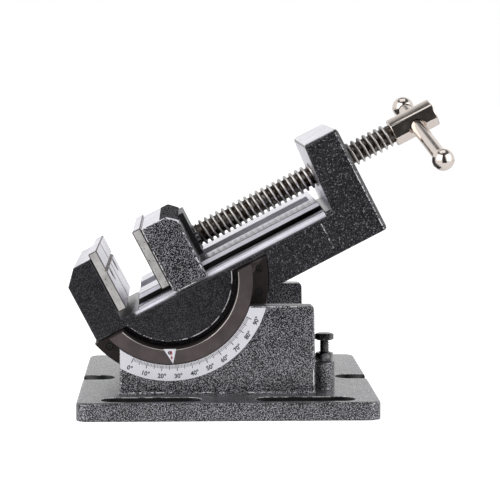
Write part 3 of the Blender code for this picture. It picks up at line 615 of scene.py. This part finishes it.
def finish(name):
    """A finish by its short name, made when it is first asked for."""
    makers = {
        "paint": lambda: vein_paint("silver_vein_enamel", 1.0),
        # Darker, less veined copy of the paint with no coat, for the jaw's rear top: painted shade
        "dull_shaded_paint": lambda: vein_paint("dull_vein_enamel_painted_shade", 0.35, gloss=0.0),
        "body_paint": lambda: vein_paint("thin_vein_enamel", 0.13, specks=0.5),
        # Chipped copies: their near-white edge strip is partly wear and partly painted highlight
        "chips_and_edge_glint": lambda: vein_paint("vein_enamel_chips_and_edge_glint", 1.0, chips_and_glint=0.50),
        "body_chips_and_edge_glint": lambda: vein_paint("thin_enamel_chips_and_edge_glint", 0.13, specks=0.5, chips_and_glint=0.42),
        # Plain black, also used as painted shade in slots, grooves and on the ring screws
        "black": black_enamel_and_shade,
        "iron": lambda: milled_iron("milled_cast_iron", 1.0, 0.20, 0.30),
        "iron_side": lambda: milled_iron("side_milled_cast_iron", 0.3, 0.30, 0.42),
        "iron_slot": lambda: milled_iron("slot_milled_cast_iron", 0.0, 0.40, 0.50),
        "plate": ground_steel,
        "ring": lambda: browned_steel("turned_browned_steel", 1.0),
        # Darker copy of the browned steel for the flange: painted shade
        "flange": lambda: browned_steel("browned_steel_painted_shade", 0.35),
        "cut_edge": cut_edge_steel,
        "thread": thread_steel,
        "nickel": nickel_plate,
        "oxide": black_oxide,
        "scale": scale_plate,
        # Bare aluminium, also used for painted glints on the scale and the pointer
        "bare_and_glint": bare_aluminium_and_glint,
        "ink": lambda: printed_ink("black_printed_ink", colours().ink),
        "fine": lambda: printed_ink("grey_printed_ink", colours().fine),
        "red": lambda: printed_ink("red_printed_ink", colours().red),
    }
    if name not in finishes:
        finishes[name] = makers[name]()
    return finishes[name]


class VISE_OT_base(bpy.types.Operator):
    """Slotted base casting with its two cheeks, edges rounded and painted"""
    bl_idname = "vise.base"
    bl_label = "Base casting"

    def execute(self, context):
        size = sizes()
        low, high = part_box("base_casting")
        top = low.z + size.base_plate
        cheek = abs(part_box("tilt_ring_front")[0].y)
        bm = merged("base_casting")

        def foot(edge):
            """Edges where something rises from the plate."""
            return all(abs(vert.co.z - top) < TOUCH for vert in edge.verts) and concave(edge)

        round_edges(bm, foot, size.foot_fillet, 3)
        round_edges(bm, lambda edge: middle(edge).z > top + size.cast_round and not concave(edge),
                    size.machined_round, 1)
        round_edges(bm, lambda edge: abs(middle(edge).z - top) < TOUCH and not concave(edge),
                    size.machined_round * 2, 2, 1)
        round_edges(bm, lambda edge: middle(edge).z < low.z + TOUCH, size.machined_round, 1)
        # Near-white strip round the cheeks' front faces: partly chipped paint, partly painted edge highlight
        edge_strip(bm, side_face(cheek), size.chip_and_glint, 1)
        for face in bm.faces:
            point = face.calc_center_median()
            if face.normal.z < -0.99 and point.z < low.z + TOUCH:
                face.material_index = 2
            # Walls inside the base's slots are plain black: painted shade in the recesses
            elif abs(face.normal.z) < 0.1 and point.z < top and in_slot(point, high):
                face.material_index = 3
        finish_piece("cast_base", bm, "base",
                     [finish("paint"), finish("chips_and_edge_glint"), finish("iron"), finish("black")],
                     ["base_casting"], weighted=True)
        return {"FINISHED"}


# Half width of the base's open end slots, and how far in the corners and sides reach
END_SLOT_HALF = 0.009
CORNER_REACH = 0.008


def in_slot(point, high):
    """True inside the base's outline, clear of its sides and rounded corners."""
    in_row = abs(point.x) < high.x - CORNER_REACH and abs(point.y) < high.y - MM
    return in_row or abs(point.y) < END_SLOT_HALF


class VISE_OT_body(bpy.types.Operator):
    """Tilting body casting with milled bed ways and post faces"""
    bl_idname = "vise.body"
    bl_label = "Tilting body"

    def execute(self, context):
        size = sizes()
        bm = merged("vise_body_casting")
        low, high = local_box("vise_body_casting")
        half = high.y
        post_start = local_box("moving_jaw_casting")[0].x + POST_AHEAD

        def outer(edge):
            """Free edges of the raw casting."""
            point = middle(edge, TILT_BACK)
            return abs(abs(point.y) - half) < TOUCH or point.x < low.x + TOUCH or point.z < low.z + TOUCH

        def long_outer(edge):
            """Free edges of the raw casting that are long enough to round."""
            return outer(edge) and not concave(edge) and edge.calc_length() > size.cast_round * 2

        round_edges(bm, long_outer, size.cast_round * 0.6, 2, clamp=False)
        round_edges(bm, lambda edge: not outer(edge) and not concave(edge)
                    and middle(edge, TILT_BACK).z > -CAVITY_ROOF, size.machined_round, 1)
        # Near-white strip round the body's side faces: partly chipped paint, partly painted edge highlight
        edge_strip(bm, side_face(half), size.chip_and_glint, 1)
        split(bm, TILT @ Vector((post_start, 0, 0)), ALONG)
        turn = TILT_BACK.to_3x3()
        for face in bm.faces:
            point = TILT_BACK @ face.calc_center_median()
            normal = turn @ face.normal
            ahead = point.x - post_start
            if bed_face(point, normal, half, ahead):
                low_face = -GROOVE_DEEP > point.z and (abs(point.y) < BED_SLOT or normal.z > 0.9)
                face.material_index = 5 if low_face else 4 if abs(normal.y) > 0.9 else 2
            # Faces inside the bed's side grooves are plain black: painted shade in the undercut
            elif ahead < 0 and half - RAIL_DEEP < abs(point.y) < half - TOUCH and \
                    GROOVE_FLOOR - TOUCH < point.z < GROOVE_ROOF + TOUCH:
                face.material_index = 3
            elif face.material_index == 1 and not keeps_chips_and_glint(face, post_start, size.ring_bore):
                face.material_index = 0
        finish_piece("tilting_body", bm, "vise_body",
                     [finish("body_paint"), finish("body_chips_and_edge_glint"), finish("iron"), finish("black"),
                      finish("iron_side"), finish("iron_slot")], ["vise_body_casting"], weighted=True)
        return {"FINISHED"}


# Heights above the bed's top, and distances in from the casting's side
CAVITY_ROOF = 0.012
GROOVE_FLOOR = -0.0068
GROOVE_ROOF = -0.0030
RAIL_DEEP = 0.0145
RAIL_SIDE = 0.0038
BED_SLOT = 0.0165

# Depth below the bed's top from which a face counts as low
GROOVE_DEEP = 0.001

# Where the post's foot begins, ahead of the moving jaw's plate, and places measured from there
POST_AHEAD = 0.1027
BED_BEHIND = -0.1266
STEP_LINE = (-0.0052, -0.0034)
POST_REAR = 0.0240
PAD_EDGE = (-0.0045, -0.0020)
SEAT_EDGE = (0.0186, 0.0196)


def keeps_chips_and_glint(face, post_start, ring_bore):
    """True by the ring seat, at the cast step's start and along the post's rear edge, where the near-white
    strip of chips and painted edge highlight stays.
    """
    points = [TILT_BACK @ vert.co for vert in face.verts]
    outs = [point.xz.length - ring_bore for point in points]
    on_pad = all(PAD_EDGE[0] < out < PAD_EDGE[1] or SEAT_EDGE[0] < out < SEAT_EDGE[1] for out in outs)
    on_step = all(STEP_LINE[0] < point.x - post_start < STEP_LINE[1] for point in points)
    return on_pad or on_step or all(point.x - post_start > POST_REAR for point in points)


def bed_face(point, normal, half, ahead):
    """True for the milled faces: bed top, rail sides, ledges, slot walls, and tops of block and post."""
    side = abs(point.y)
    on_bed = BED_BEHIND < ahead < 0 and point.z > GROOVE_FLOOR - RAIL_SIDE
    bed_top = normal.z > 0.9 and abs(point.z) < MM
    rail_side = on_bed and abs(normal.y) > 0.9 and half - RAIL_SIDE * 2 < side < half - MM
    ledge = on_bed and normal.z > 0.9 and side > half - RAIL_DEEP and abs(point.z - GROOVE_FLOOR) < MM
    slot_wall = on_bed and side < BED_SLOT
    high_top = normal.z > 0.9 and point.z > half / 2
    post_front = ahead > 0 and point.z > GROOVE_FLOOR and normal.x < -0.9
    return bed_top or rail_side or ledge or slot_wall or high_top or post_front


class VISE_OT_jaw(bpy.types.Operator):
    """Moving jaw casting, its top milled in front and painted behind"""
    bl_idname = "vise.jaw"
    bl_label = "Moving jaw"

    def execute(self, context):
        size = sizes()
        bm = merged("moving_jaw_casting")
        low, high = local_box("moving_jaw_casting")
        half = high.y
        back = low.x

        # Near-white strip round the jaw's side faces: partly chipped paint, partly painted edge highlight
        edge_strip(bm, side_face(half), size.chip_and_glint, 1)
        milled = back + JAW_MILLED
        split(bm, TILT @ Vector((milled, 0, 0)), ALONG)
        turn = TILT_BACK.to_3x3()
        for face in bm.faces:
            point = TILT_BACK @ face.calc_center_median()
            normal = turn @ face.normal
            above = point.z > high.z / 2
            if normal.z > 0.9 and point.z > high.z - MM and point.x < milled:
                face.material_index = 2
            elif normal.x < -0.9 and point.x < back + MM:
                face.material_index = 2
            elif above and 0.3 < abs(normal.y) < 0.98:
                face.material_index = 4
            # The rear upper faces take the darker, less veined copy of the paint: painted shade
            elif above and abs(normal.y) < 0.3 and point.x > milled:
                face.material_index = 3
        finish_piece("sliding_jaw", bm, "moving_jaw",
                     [finish("paint"), finish("chips_and_edge_glint"), finish("iron"), finish("dull_shaded_paint"),
                      finish("iron_side")], ["moving_jaw_casting"], weighted=True)
        return {"FINISHED"}


# Length of the moving jaw's top that is milled bright, from its plate back
JAW_MILLED = 0.0121


class VISE_OT_rings(bpy.types.Operator):
    """Two half rings that carry the tilt, turned and browned"""
    bl_idname = "vise.rings"
    bl_label = "Tilt rings"

    def execute(self, context):
        size = sizes()
        for side in ("front", "back"):
            node = "tilt_ring_" + side
            bm = merged(node)
            face = max(abs(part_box(node)[0].y), abs(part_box(node)[1].y))
            inner = size.ring_bore + MM
            round_edges(bm, lambda edge: on_face(edge, face) and from_axis(edge) < inner, size.chip_and_glint, 1, 1)
            round_edges(bm, lambda edge: on_face(edge, face) and from_axis(edge) > inner,
                        size.machined_round / 2, 1)
            # Flange faces, set back behind the rib, take the darker copy: painted shade
            for part in bm.faces:
                if part.material_index == 0 and abs(part.calc_center_median().y) < face - MM and \
                        abs(part.normal.y) > 0.9:
                    part.material_index = 2
            finish_piece("half_ring_" + side, bm, "vise_body",
                         [finish("ring"), finish("cut_edge"), finish("flange")], [node], weighted=True)
        return {"FINISHED"}


def on_face(edge, level):
    """True for an edge that lies in an upright plane at a distance from the middle."""
    return all(abs(abs(vert.co.y) - level) < TOUCH for vert in edge.verts)


def from_axis(edge):
    """Distance of an edge from the tilt axis."""
    return (TILT_BACK @ middle(edge)).xz.length


class VISE_OT_plates(bpy.types.Operator):
    """Ground jaw plates, the retainer and the keeper plate"""
    bl_idname = "vise.plates"
    bl_label = "Plates"

    def execute(self, context):
        for node, name, body in (("fixed_jaw_plate", "fixed_plate", "vise_body"),
                                 ("moving_jaw_plate", "moving_plate", "moving_jaw"),
                                 ("screw_retainer", "retainer_plate", "moving_jaw"),
                                 ("keeper_plate", "keeper", "moving_jaw")):
            bm = merged(node)
            turn = TILT_BACK.to_3x3()
            for face in bm.faces:
                normal = turn @ face.normal
                if abs(normal.x) > 0.99 or normal.z > 0.99:
                    face.material_index = 2
                elif max(abs(part) for part in normal) < 0.95:
                    face.material_index = 3
            round_edges(bm, lambda edge: not concave(edge), sizes().machined_round * 0.7, 1, 1)
            looks = ["black", "iron_side", "black", "black"] if name == "retainer_plate" else \
                ["plate", "cut_edge", "iron", "ring"]
            finish_piece(name, bm, body, [finish(look) for look in looks], [node],
                         weighted=True)
        return {"FINISHED"}


class VISE_OT_lead_screw(bpy.types.Operator):
    """Lead screw: its trapezoidal thread, collar and cross-drilled hexagon boss"""
    bl_idname = "vise.lead_screw"
    bl_label = "Lead screw"

    def execute(self, context):
        size = sizes()
        back = SCREW.inverted()
        low = local_box("lead_screw", back)[0]
        points = [back @ vert.co for vert in frame["nodes"]["lead_screw"].data.vertices]
        boss_low = min(point.z for point in points if point.xy.length > size.thread_crest + MM / 5)
        start = size.thread_start
        jaw_rear = local_box("moving_jaw_casting")[1].x
        retainer_rear = local_box("screw_retainer")[1].x
        bm = bmesh.new()
        lower, upper = thread(bm, size.thread_crest, size.thread_root, size.thread_pitch,
                              start, boss_low - 0.0012, 48)
        shoulder = retainer_rear + 0.0004
        tip = carry(bm, lower, [(size.collar - 0.0003, start - 0.0002), (size.collar, start - 0.0005),
                                (size.collar, shoulder + 0.0003), (size.collar - 0.0003, shoulder),
                                (size.neck, shoulder), (size.neck, jaw_rear - 0.0003),
                                (size.collar, jaw_rear - 0.0003), (size.collar, low.z + 0.0005),
                                (size.collar - 0.0005, low.z)])
        close(bm, tip)
        close(bm, carry(bm, upper, [(size.thread_root, boss_low + 0.004)]))
        finish_piece("lead_thread", bm, "lead_screw", [finish("thread")], ["lead_screw"],
                     place=SCREW)
        boss = merged("lead_screw")
        split(boss, SCREW @ Vector((0, 0, boss_low - 0.0001)), -ALONG, outer=True)
        bmesh.ops.holes_fill(boss, edges=[edge for edge in boss.edges if edge.is_boundary], sides=0)
        bmesh.ops.recalc_face_normals(boss, faces=boss.faces)
        finish_piece("screw_boss", boss, "lead_screw", [finish("nickel")], ["lead_screw"],
                     weighted=True)
        return {"FINISHED"}


class VISE_OT_handle(bpy.types.Operator):
    """Handle bar and its two balls"""
    bl_idname = "vise.handle"
    bl_label = "Handle"

    def execute(self, context):
        size = sizes()
        low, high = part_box("handle_bar")
        on_bar = (low + high) / 2
        crossing = SCREW.translation + ALONG * (on_bar - SCREW.translation).dot(ALONG)
        place = frame_at(crossing, ALONG, -BAR_AXIS)
        back = place.inverted()
        low, high = local_box("handle_bar", back)
        bar = turned([(0, low.z), (size.bar, low.z), (size.bar, high.z), (0, high.z)], 64)
        finish_piece("bar", bar, "handle", [finish("nickel")], ["handle_bar"], place=place)
        for side in ("near", "far"):
            low, high = local_box("handle_ball_" + side, back)
            outer, inner = (high.z, low.z) if abs(high.z) > abs(low.z) else (low.z, high.z)
            towards = 1 if outer > inner else -1
            middle_z = outer - towards * size.ball
            socket = size.bar + 0.0003
            stop = math.degrees(math.acos(socket / size.ball))
            profile = [(0, size.ball)]
            for step in range(1, 33):
                angle = math.radians(90 - (90 + stop) * step / 32)
                profile.append((size.ball * math.cos(angle), size.ball * math.sin(angle)))
            profile += [(socket, -0.0006), (0, -0.0006)]
            bm = turned([(radius, middle_z + towards * height) for radius, height in profile], 64)
            finish_piece("ball_" + side, bm, "handle", [finish("nickel")],
                         ["handle_ball_" + side], place=place)
        return {"FINISHED"}


# Width across the flats of the stop bolt, its jam nut and the lock screws, and height of their heads
BOLT_FLATS = 0.010
BOLT_HEAD = 0.004


class VISE_OT_stop(bpy.types.Operator):
    """Level stop bolt with its jam nut, and the tilt lock screws"""
    bl_idname = "vise.stop"
    bl_label = "Stop and lock screws"

    def execute(self, context):
        size = sizes()
        for node, name, body, towards in (("stop_bolt", "level_stop", "stop_bolt", (0, 0, 1)),
                                          ("tilt_lock_screw_1", "lock_1", "tilt_lock_1", (0, 1, 0)),
                                          ("tilt_lock_screw_2", "lock_2", "tilt_lock_2", (0, 1, 0))):
            low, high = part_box(node)
            centre = (low + high) / 2
            axis = Vector(towards)
            top = centre + axis * (high - low).dot(axis) / 2
            place = frame_at(top, (1, 0, 0), axis)
            long = (high - low).dot(axis)
            flats = BOLT_FLATS
            head = BOLT_HEAD
            bm = bmesh.new()
            lower, upper = thread(bm, size.bolt_shank, size.bolt_shank - 0.0006, size.bolt_pitch,
                                  -long + 0.0005, -head - 0.0008, 24)
            close(bm, carry(bm, lower, [(size.bolt_shank - 0.0012, -long)]))
            corner = flats / math.sqrt(3)
            head_loop = carry(bm, upper, [(size.bolt_shank - 0.0003, -head)])
            head_loop = carry(bm, head_loop, [(flats * 0.47, -head), (corner, -head + 0.0003),
                                              (corner, -0.0006), (flats * 0.5, -0.0002),
                                              (flats * 0.46, 0)], flats)
            close(bm, head_loop)
            finish_piece(name, bm, body, [finish("oxide")], [node], place=place)
        low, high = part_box("stop_jam_nut")
        bm = bmesh.new()
        tall = high.z - low.z
        corner = BOLT_FLATS / math.sqrt(3)
        bore = size.bolt_shank + 0.0003
        bmesh.ops.create_circle(bm, cap_ends=False, segments=72, radius=bore)
        loop = list(bm.edges)
        loop = carry(bm, loop, [(0.0047, 0), (corner, 0.0003), (corner, tall - 0.0005),
                                (0.0049, tall - 0.0001), (0.0046, tall)], BOLT_FLATS, math.radians(12))
        loop = carry(bm, loop, [(bore + 0.0003, tall), (bore, tall - 0.0003), (bore, 0)])
        bmesh.ops.remove_doubles(bm, verts=bm.verts, dist=WELD)
        bmesh.ops.recalc_face_normals(bm, faces=bm.faces)
        centre = (low + high) / 2
        finish_piece("jam_nut", bm, "base", [finish("oxide")], ["stop_jam_nut"],
                     place=Matrix.Translation((centre.x, centre.y, low.z)))
        return {"FINISHED"}


def socket_screw(node, name, body, axis, flats, depth, shank, head_height, look="oxide"):
    """A socket head screw in the place of a CAD one; its head looks along the axis."""
    x = ACROSS if abs(axis.dot(ACROSS)) < 0.5 else Vector((1, 0, 0))
    back = frame_at((0, 0, 0), x, axis).inverted()
    low, high = local_box(node, back)
    centre = (low + high) / 2
    top = Vector((centre.x, centre.y, high.z))
    place = frame_at((0, 0, 0), x, axis) @ Matrix.Translation(top)
    head = (high.x - low.x) / 2
    ease = head * 0.10
    bm = bmesh.new()
    bmesh.ops.create_circle(bm, cap_ends=True, segments=48, radius=shank,
                            matrix=Matrix.Translation((0, 0, low.z - high.z)))
    loop = carry(bm, list(bm.edges), [(shank, -head_height), (head, -head_height), (head, -ease),
                                      (head - ease, 0)])
    loop = carry(bm, loop, [(head, 0), (head, -depth)], flats)
    close(bm, loop)
    finish_piece(name, bm, body, [finish(look)], [node], place=place)


# Width and depth of each kind of screw's socket, radius of its shank and height of its head
RING_SOCKET = (0.0015, 0.0010, 0.0010, 0.0020)
PLATE_SOCKET = (0.005, 0.0022, 0.003, 0.0035)
RETAINER_SOCKET = (0.0025, 0.0012, 0.002, 0.0020)
KEEPER_SOCKET = (0.005, 0.0020, 0.003, 0.0030)


class VISE_OT_screws(bpy.types.Operator):
    """Socket head screws of the rings, the jaw plates, the retainer and the keeper"""
    bl_idname = "vise.screws"
    bl_label = "Socket screws"

    def execute(self, context):
        # The ring screws' heads are plain black so that they read as dark as holes in shadow: painted shade
        for side, towards in (("front", -ACROSS), ("back", ACROSS)):
            for number in range(1, 5):
                socket_screw("ring_screw_%s_%d" % (side, number), "ring_%s_screw_%d" % (side, number),
                             "vise_body", towards, *RING_SOCKET, "black")
        kinds = (("fixed_plate_screw", "fixed_screw", "vise_body", ALONG, PLATE_SOCKET),
                 ("moving_plate_screw", "moving_screw", "moving_jaw", -ALONG, PLATE_SOCKET),
                 ("retainer_screw", "retainer_plate_screw", "moving_jaw", ALONG, RETAINER_SOCKET),
                 ("keeper_screw", "keeper_plate_screw", "moving_jaw", -AWAY, KEEPER_SOCKET))
        for number in (1, 2):
            for node, name, body, axis, socket in kinds:
                socket_screw("%s_%d" % (node, number), "%s_%d" % (name, number), body, axis, *socket)
        low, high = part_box("pointer_screw")
        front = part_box("tilt_pointer")[0].y
        head = 0.10 * (high.x - low.x)
        rivet = turned([(0, front - high.y), (head, front - high.y), (head, head / 3), (head * 0.8, head / 2),
                        (0, head / 2)], 32)
        place = frame_at(((low.x + high.x) / 2, front, (low.z + high.z) / 2), (1, 0, 0), -ACROSS)
        finish_piece("pointer_rivet", rivet, "vise_body", [finish("scale")],
                     ["pointer_screw"], place=place)
        return {"FINISHED"}


# Angle round the tilt axis, in degrees, where the scale reads zero
SCALE_ZERO = -115

# Radii of the printed lines' inner ends and of the figures, and lengths and widths of the lines
LINES_INNER = 0.0507
FIGURE_RADIUS = 0.0573
LINE_SIZES = {"ten": (0.0034, 0.00050), "five": (0.0026, 0.00042), "one": (0.0019, 0.00040)}
# Readings and size of three bright lines of bare aluminium laid on the scale: painted glints
GLINT_READINGS = (20.6, 40.4, 61)
GLINT_SIZE = (0.0042, 0.00050)
PRINT_HEIGHT = 0.00003

# Width of the bare edge that shows round the scale's face
BARE_EDGE = 0.00035

# Radius and angle of the pointer's figure and mark, and their sizes
POINTER_FIGURE = (0.0433, -88.8, 0.0034)
POINTER_MARK = (0.0459, -88.4, 0.0016)


def on_scale(reading, radius, out):
    """A placement on the front cheek, at a reading and a radius, that faces the viewer.

    Its own Y points to the tilt axis, so that figures stand with their tops to the middle.
    """
    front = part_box("angle_scale")[0].y
    return on_front(math.radians(SCALE_ZERO + reading), radius, front - out)


def on_front(angle, radius, front):
    """A placement round the tilt axis, in an upright plane, that faces the viewer."""
    axis = TILT.translation
    away = Vector((math.cos(angle), 0, math.sin(angle)))
    point = Vector((axis.x, front, axis.z)) + away * radius
    return frame_at(point, away.cross(-ACROSS) * -1, -ACROSS)


class VISE_OT_scale(bpy.types.Operator):
    """Angle scale with its printed lines and figures, and the pointer"""
    bl_idname = "vise.scale"
    bl_label = "Angle scale and pointer"

    def execute(self, context):
        size = sizes()
        bm = merged("angle_scale")
        shown = [face for face in bm.faces if face.normal.y < -0.99]
        made = bmesh.ops.inset_region(bm, faces=shown, thickness=BARE_EDGE, use_even_offset=True,
                                      use_boundary=True)
        for face in made["faces"]:
            face.material_index = 1
        finish_piece("scale_sheet", bm, "base", [finish("scale"), finish("bare_and_glint")],
                     ["angle_scale"], weighted=True)
        for kind, ink in (("ten", "ink"), ("five", "ink"), ("one", "fine")):
            lines = bmesh.new()
            tall, wide = LINE_SIZES[kind]
            for reading in range(0, 91):
                if kind == ("ten" if reading % 10 == 0 else "five" if reading % 5 == 0 else "one"):
                    printed_line(lines, reading, tall, wide)
            finish_piece("scale_lines_" + kind, lines, "base", [finish(ink)])
        # Three near-white lines on the scale: painted highlights
        glints = bmesh.new()
        for reading in GLINT_READINGS:
            printed_line(glints, reading, *GLINT_SIZE)
        finish_piece("scale_glints", glints, "base", [finish("bare_and_glint")])
        figures = bmesh.new()
        for reading in range(0, 91, 10):
            place = on_scale(reading + 0.4, FIGURE_RADIUS, 0)
            text_mesh("%d°" % reading, size.numeral, PRINT_HEIGHT, place, figures, bold=PRINT_HEIGHT * 4)
        finish_piece("scale_figures", figures, "base", [finish("ink")])
        pointer = merged("tilt_pointer")
        pointer_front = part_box("tilt_pointer")[0].y
        # The pointer's rounded front edges are near white: partly bare metal, partly painted highlight
        round_edges(pointer, lambda edge: middle(edge).y < pointer_front + TOUCH, size.machined_round, 1, 1)
        finish_piece("angle_pointer", pointer, "vise_body", [finish("scale"), finish("bare_and_glint")],
                     ["tilt_pointer"], weighted=True)
        marks = bmesh.new()
        radius, angle, tall = POINTER_FIGURE
        text_mesh("0", tall, PRINT_HEIGHT, on_front(math.radians(angle), radius, pointer_front), marks,
                  bold=PRINT_HEIGHT * 2)
        radius, angle, tall = POINTER_MARK
        slab(marks, on_front(math.radians(angle), radius, pointer_front), tall * 0.6, tall, PRINT_HEIGHT)
        finish_piece("pointer_marks", marks, "vise_body", [finish("red")])
        return {"FINISHED"}


def slab(bm, place, wide, tall, thick):
    """Add a thin block, centred on the placement."""
    bmesh.ops.create_cube(bm, size=1, matrix=place @ Matrix.Diagonal((wide, tall, thick, 1)))


def printed_line(bm, reading, tall, wide):
    """Add a radial line at a reading of the scale."""
    slab(bm, on_scale(reading, LINES_INNER + tall / 2, 0), wide, tall, PRINT_HEIGHT * 2)


class VISE_OT_stage(bpy.types.Operator):
    """Pale floor, soft studio light, white background and the camera"""
    bl_idname = "vise.stage"
    bl_label = "Stage"

    def execute(self, context):
        scene = bpy.context.scene
        scene.view_settings.view_transform = "Standard"
        bm = bmesh.new()
        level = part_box("base_casting")[0].z - TOUCH
        place = Matrix.Translation((0, FLOOR_MIDDLE, level)) @ Matrix.Diagonal((FLOOR_HALF, FLOOR_HALF, 1, 1))
        bmesh.ops.create_grid(bm, x_segments=1, y_segments=1, size=1, matrix=place)
        mesh = bpy.data.meshes.new("floor")
        bm.to_mesh(mesh)
        bm.free()
        floor = bpy.data.objects.new("floor", mesh)
        scene.collection.objects.link(floor)
        mesh.materials.append(stage_paper())
        world = scene.world or bpy.data.worlds.new("studio")
        scene.world = world
        world.use_nodes = True
        tree = world.node_tree
        tree.nodes.clear()
        level = by_ray(tree, FILL, room_light(tree), 1.0)
        sky = add(tree, "ShaderNodeBackground", {"Color": (1, 1, 1, 1), "Strength": level})
        add(tree, "ShaderNodeOutputWorld", {"Surface": sky.outputs[0]})
        for name, place, wide, power in SOFTBOXES:
            lamp = bpy.data.lights.new(name, "AREA")
            lamp.size = wide
            lamp.energy = power
            lit = bpy.data.objects.new(name, lamp)
            scene.collection.objects.link(lit)
            lit.location = place
            lit.rotation_euler = (Vector(LAMPS_AIM) - Vector(place)).to_track_quat("-Z", "Y").to_euler()
        lens = bpy.data.cameras.new("photo_view")
        lens.lens = CAMERA_LENS
        lens.clip_end = 20
        camera = bpy.data.objects.new("photo_view", lens)
        scene.collection.objects.link(camera)
        camera.matrix_world = (Matrix.Translation(CAMERA_PLACE)
                               @ Matrix.Rotation(math.radians(CAMERA_TURN), 4, "Z")
                               @ Matrix.Rotation(math.radians(90 - CAMERA_DOWN), 4, "X")
                               @ Matrix.Rotation(math.radians(CAMERA_ROLL), 4, "Z"))
        scene.camera = camera
        return {"FINISHED"}


# Name, place, width and power in watts of each lamp, and the point that all of them look at
SOFTBOXES = (("left_softbox", (-1.1, -1.0, 0.8), 1.7, 14.5),
             ("right_softbox", (1.2, -0.9, 0.7), 1.7, 11.5),
             ("top_softbox", (0.0, 0.1, 1.5), 1.0, 3.5))
LAMPS_AIM = (0, 0, 0.08)

# The camera's focal length in millimetres, its place, and its turns in degrees
CAMERA_LENS = 128.97
CAMERA_PLACE = (-0.0293, -1.125, 0.2084)
CAMERA_TURN = -2.289
CAMERA_DOWN = 5.903
CAMERA_ROLL = 0.107

# The floor reaches from just in front of the picture to far behind the vise
FLOOR_HALF = 4.0
FLOOR_MIDDLE = 3.70

# Light of the world on matt surfaces, and of the paper's own to the camera and in metal
FILL = 0.42
GLOW = 0.70
GLOW_MIRRORED = 0.25

# The dark gap in front: its middle and half width in degrees, its edge, and its strength
GAP_MIDDLE = 6.5
GAP_HALF = 24.5
GAP_SOFT = 2.0
GAP_LEVEL = 0.045

# The dark ceiling: the heights in degrees between which it begins, and its strength
CEILING_LOW = 43
CEILING_HIGH = 52
CEILING_LEVEL = 0.12


def by_ray(tree, matt, mirrored, seen):
    """A strength for matt surfaces, for what metal mirrors, and for the camera and glass."""
    path = add(tree, "ShaderNodeLightPath").outputs
    unseen = remap(tree, path["Is Glossy Ray"], 0.0, 1.0, matt, mirrored)
    camera = calc(tree, "MAXIMUM", path["Is Camera Ray"], path["Is Transmission Ray"])
    return remap(tree, camera, 0.0, 1.0, unseen, seen)


def room_light(tree):
    """Strength of the studio as metal mirrors it: white walls, a dark ceiling and a dark gap in front."""
    way = add(tree, "ShaderNodeTexCoord").outputs["Generated"]
    parts = add(tree, "ShaderNodeSeparateXYZ", {"Vector": way}).outputs
    front = calc(tree, "MULTIPLY", parts["Y"], -1.0)
    bearing = calc(tree, "ARCTAN2", parts["X"], front)
    off = calc(tree, "SUBTRACT", bearing, math.radians(GAP_MIDDLE))
    off = calc(tree, "ABSOLUTE", off)
    gap = remap(tree, off, math.radians(GAP_HALF - GAP_SOFT), math.radians(GAP_HALF + GAP_SOFT),
                GAP_LEVEL, 1.0)
    roof = remap(tree, parts["Z"], math.sin(math.radians(CEILING_LOW)), math.sin(math.radians(CEILING_HIGH)),
                 1.0, CEILING_LEVEL)
    return calc(tree, "MINIMUM", gap, roof)


def stage_paper():
    """White studio paper: matt, and white to the camera where no shadow falls on it."""
    made, tree, shader, place = start_material("white_studio_paper", Base_Color=(0.86, 0.86, 0.87, 1.0),
                                               Roughness=0.9)
    shader.inputs["Emission Color"].default_value = (1, 1, 1, 1)
    feed(tree, shader, Emission_Strength=by_ray(tree, 0.0, GLOW_MIRRORED, GLOW))
    return made


class VISE_PT_panel(bpy.types.Panel):
    """Lists the vise's pieces, sizes and colours"""
    bl_idname = "VISE_PT_panel"
    bl_label = "Drill Press Vise"
    bl_space_type = "VIEW_3D"
    bl_region_type = "UI"
    bl_category = "Vise"

    def draw(self, context):
        layout = self.layout
        for kind in PIECES:
            layout.operator(kind.bl_idname)
        for group in (context.scene.vise_sizes, context.scene.vise_colours):
            for name in group.__annotations__:
                layout.prop(group, name)


PIECES = (VISE_OT_base, VISE_OT_body, VISE_OT_jaw, VISE_OT_rings, VISE_OT_plates, VISE_OT_lead_screw,
          VISE_OT_handle, VISE_OT_stop, VISE_OT_screws, VISE_OT_scale, VISE_OT_stage)
CLASSES = (ViseSizes, ViseColours) + PIECES + (VISE_PT_panel,)


def register():
    """Add the operators, the panel and the scene's sizes and colours."""
    for kind in CLASSES:
        bpy.utils.register_class(kind)
    bpy.types.Scene.vise_sizes = bpy.props.PointerProperty(type=ViseSizes)
    bpy.types.Scene.vise_colours = bpy.props.PointerProperty(type=ViseColours)


def unregister():
    """Take away what register added."""
    del bpy.types.Scene.vise_colours
    del bpy.types.Scene.vise_sizes
    for kind in reversed(CLASSES):
        bpy.utils.unregister_class(kind)


def main():
    """Make every piece."""
    register()
    for kind in PIECES:
        made = getattr(bpy.ops.vise, kind.bl_idname.split(".")[1])()
        if made != {"FINISHED"}:
            raise RuntimeError(kind.bl_label + " could not be made")


if __name__ == "__main__":
    main()
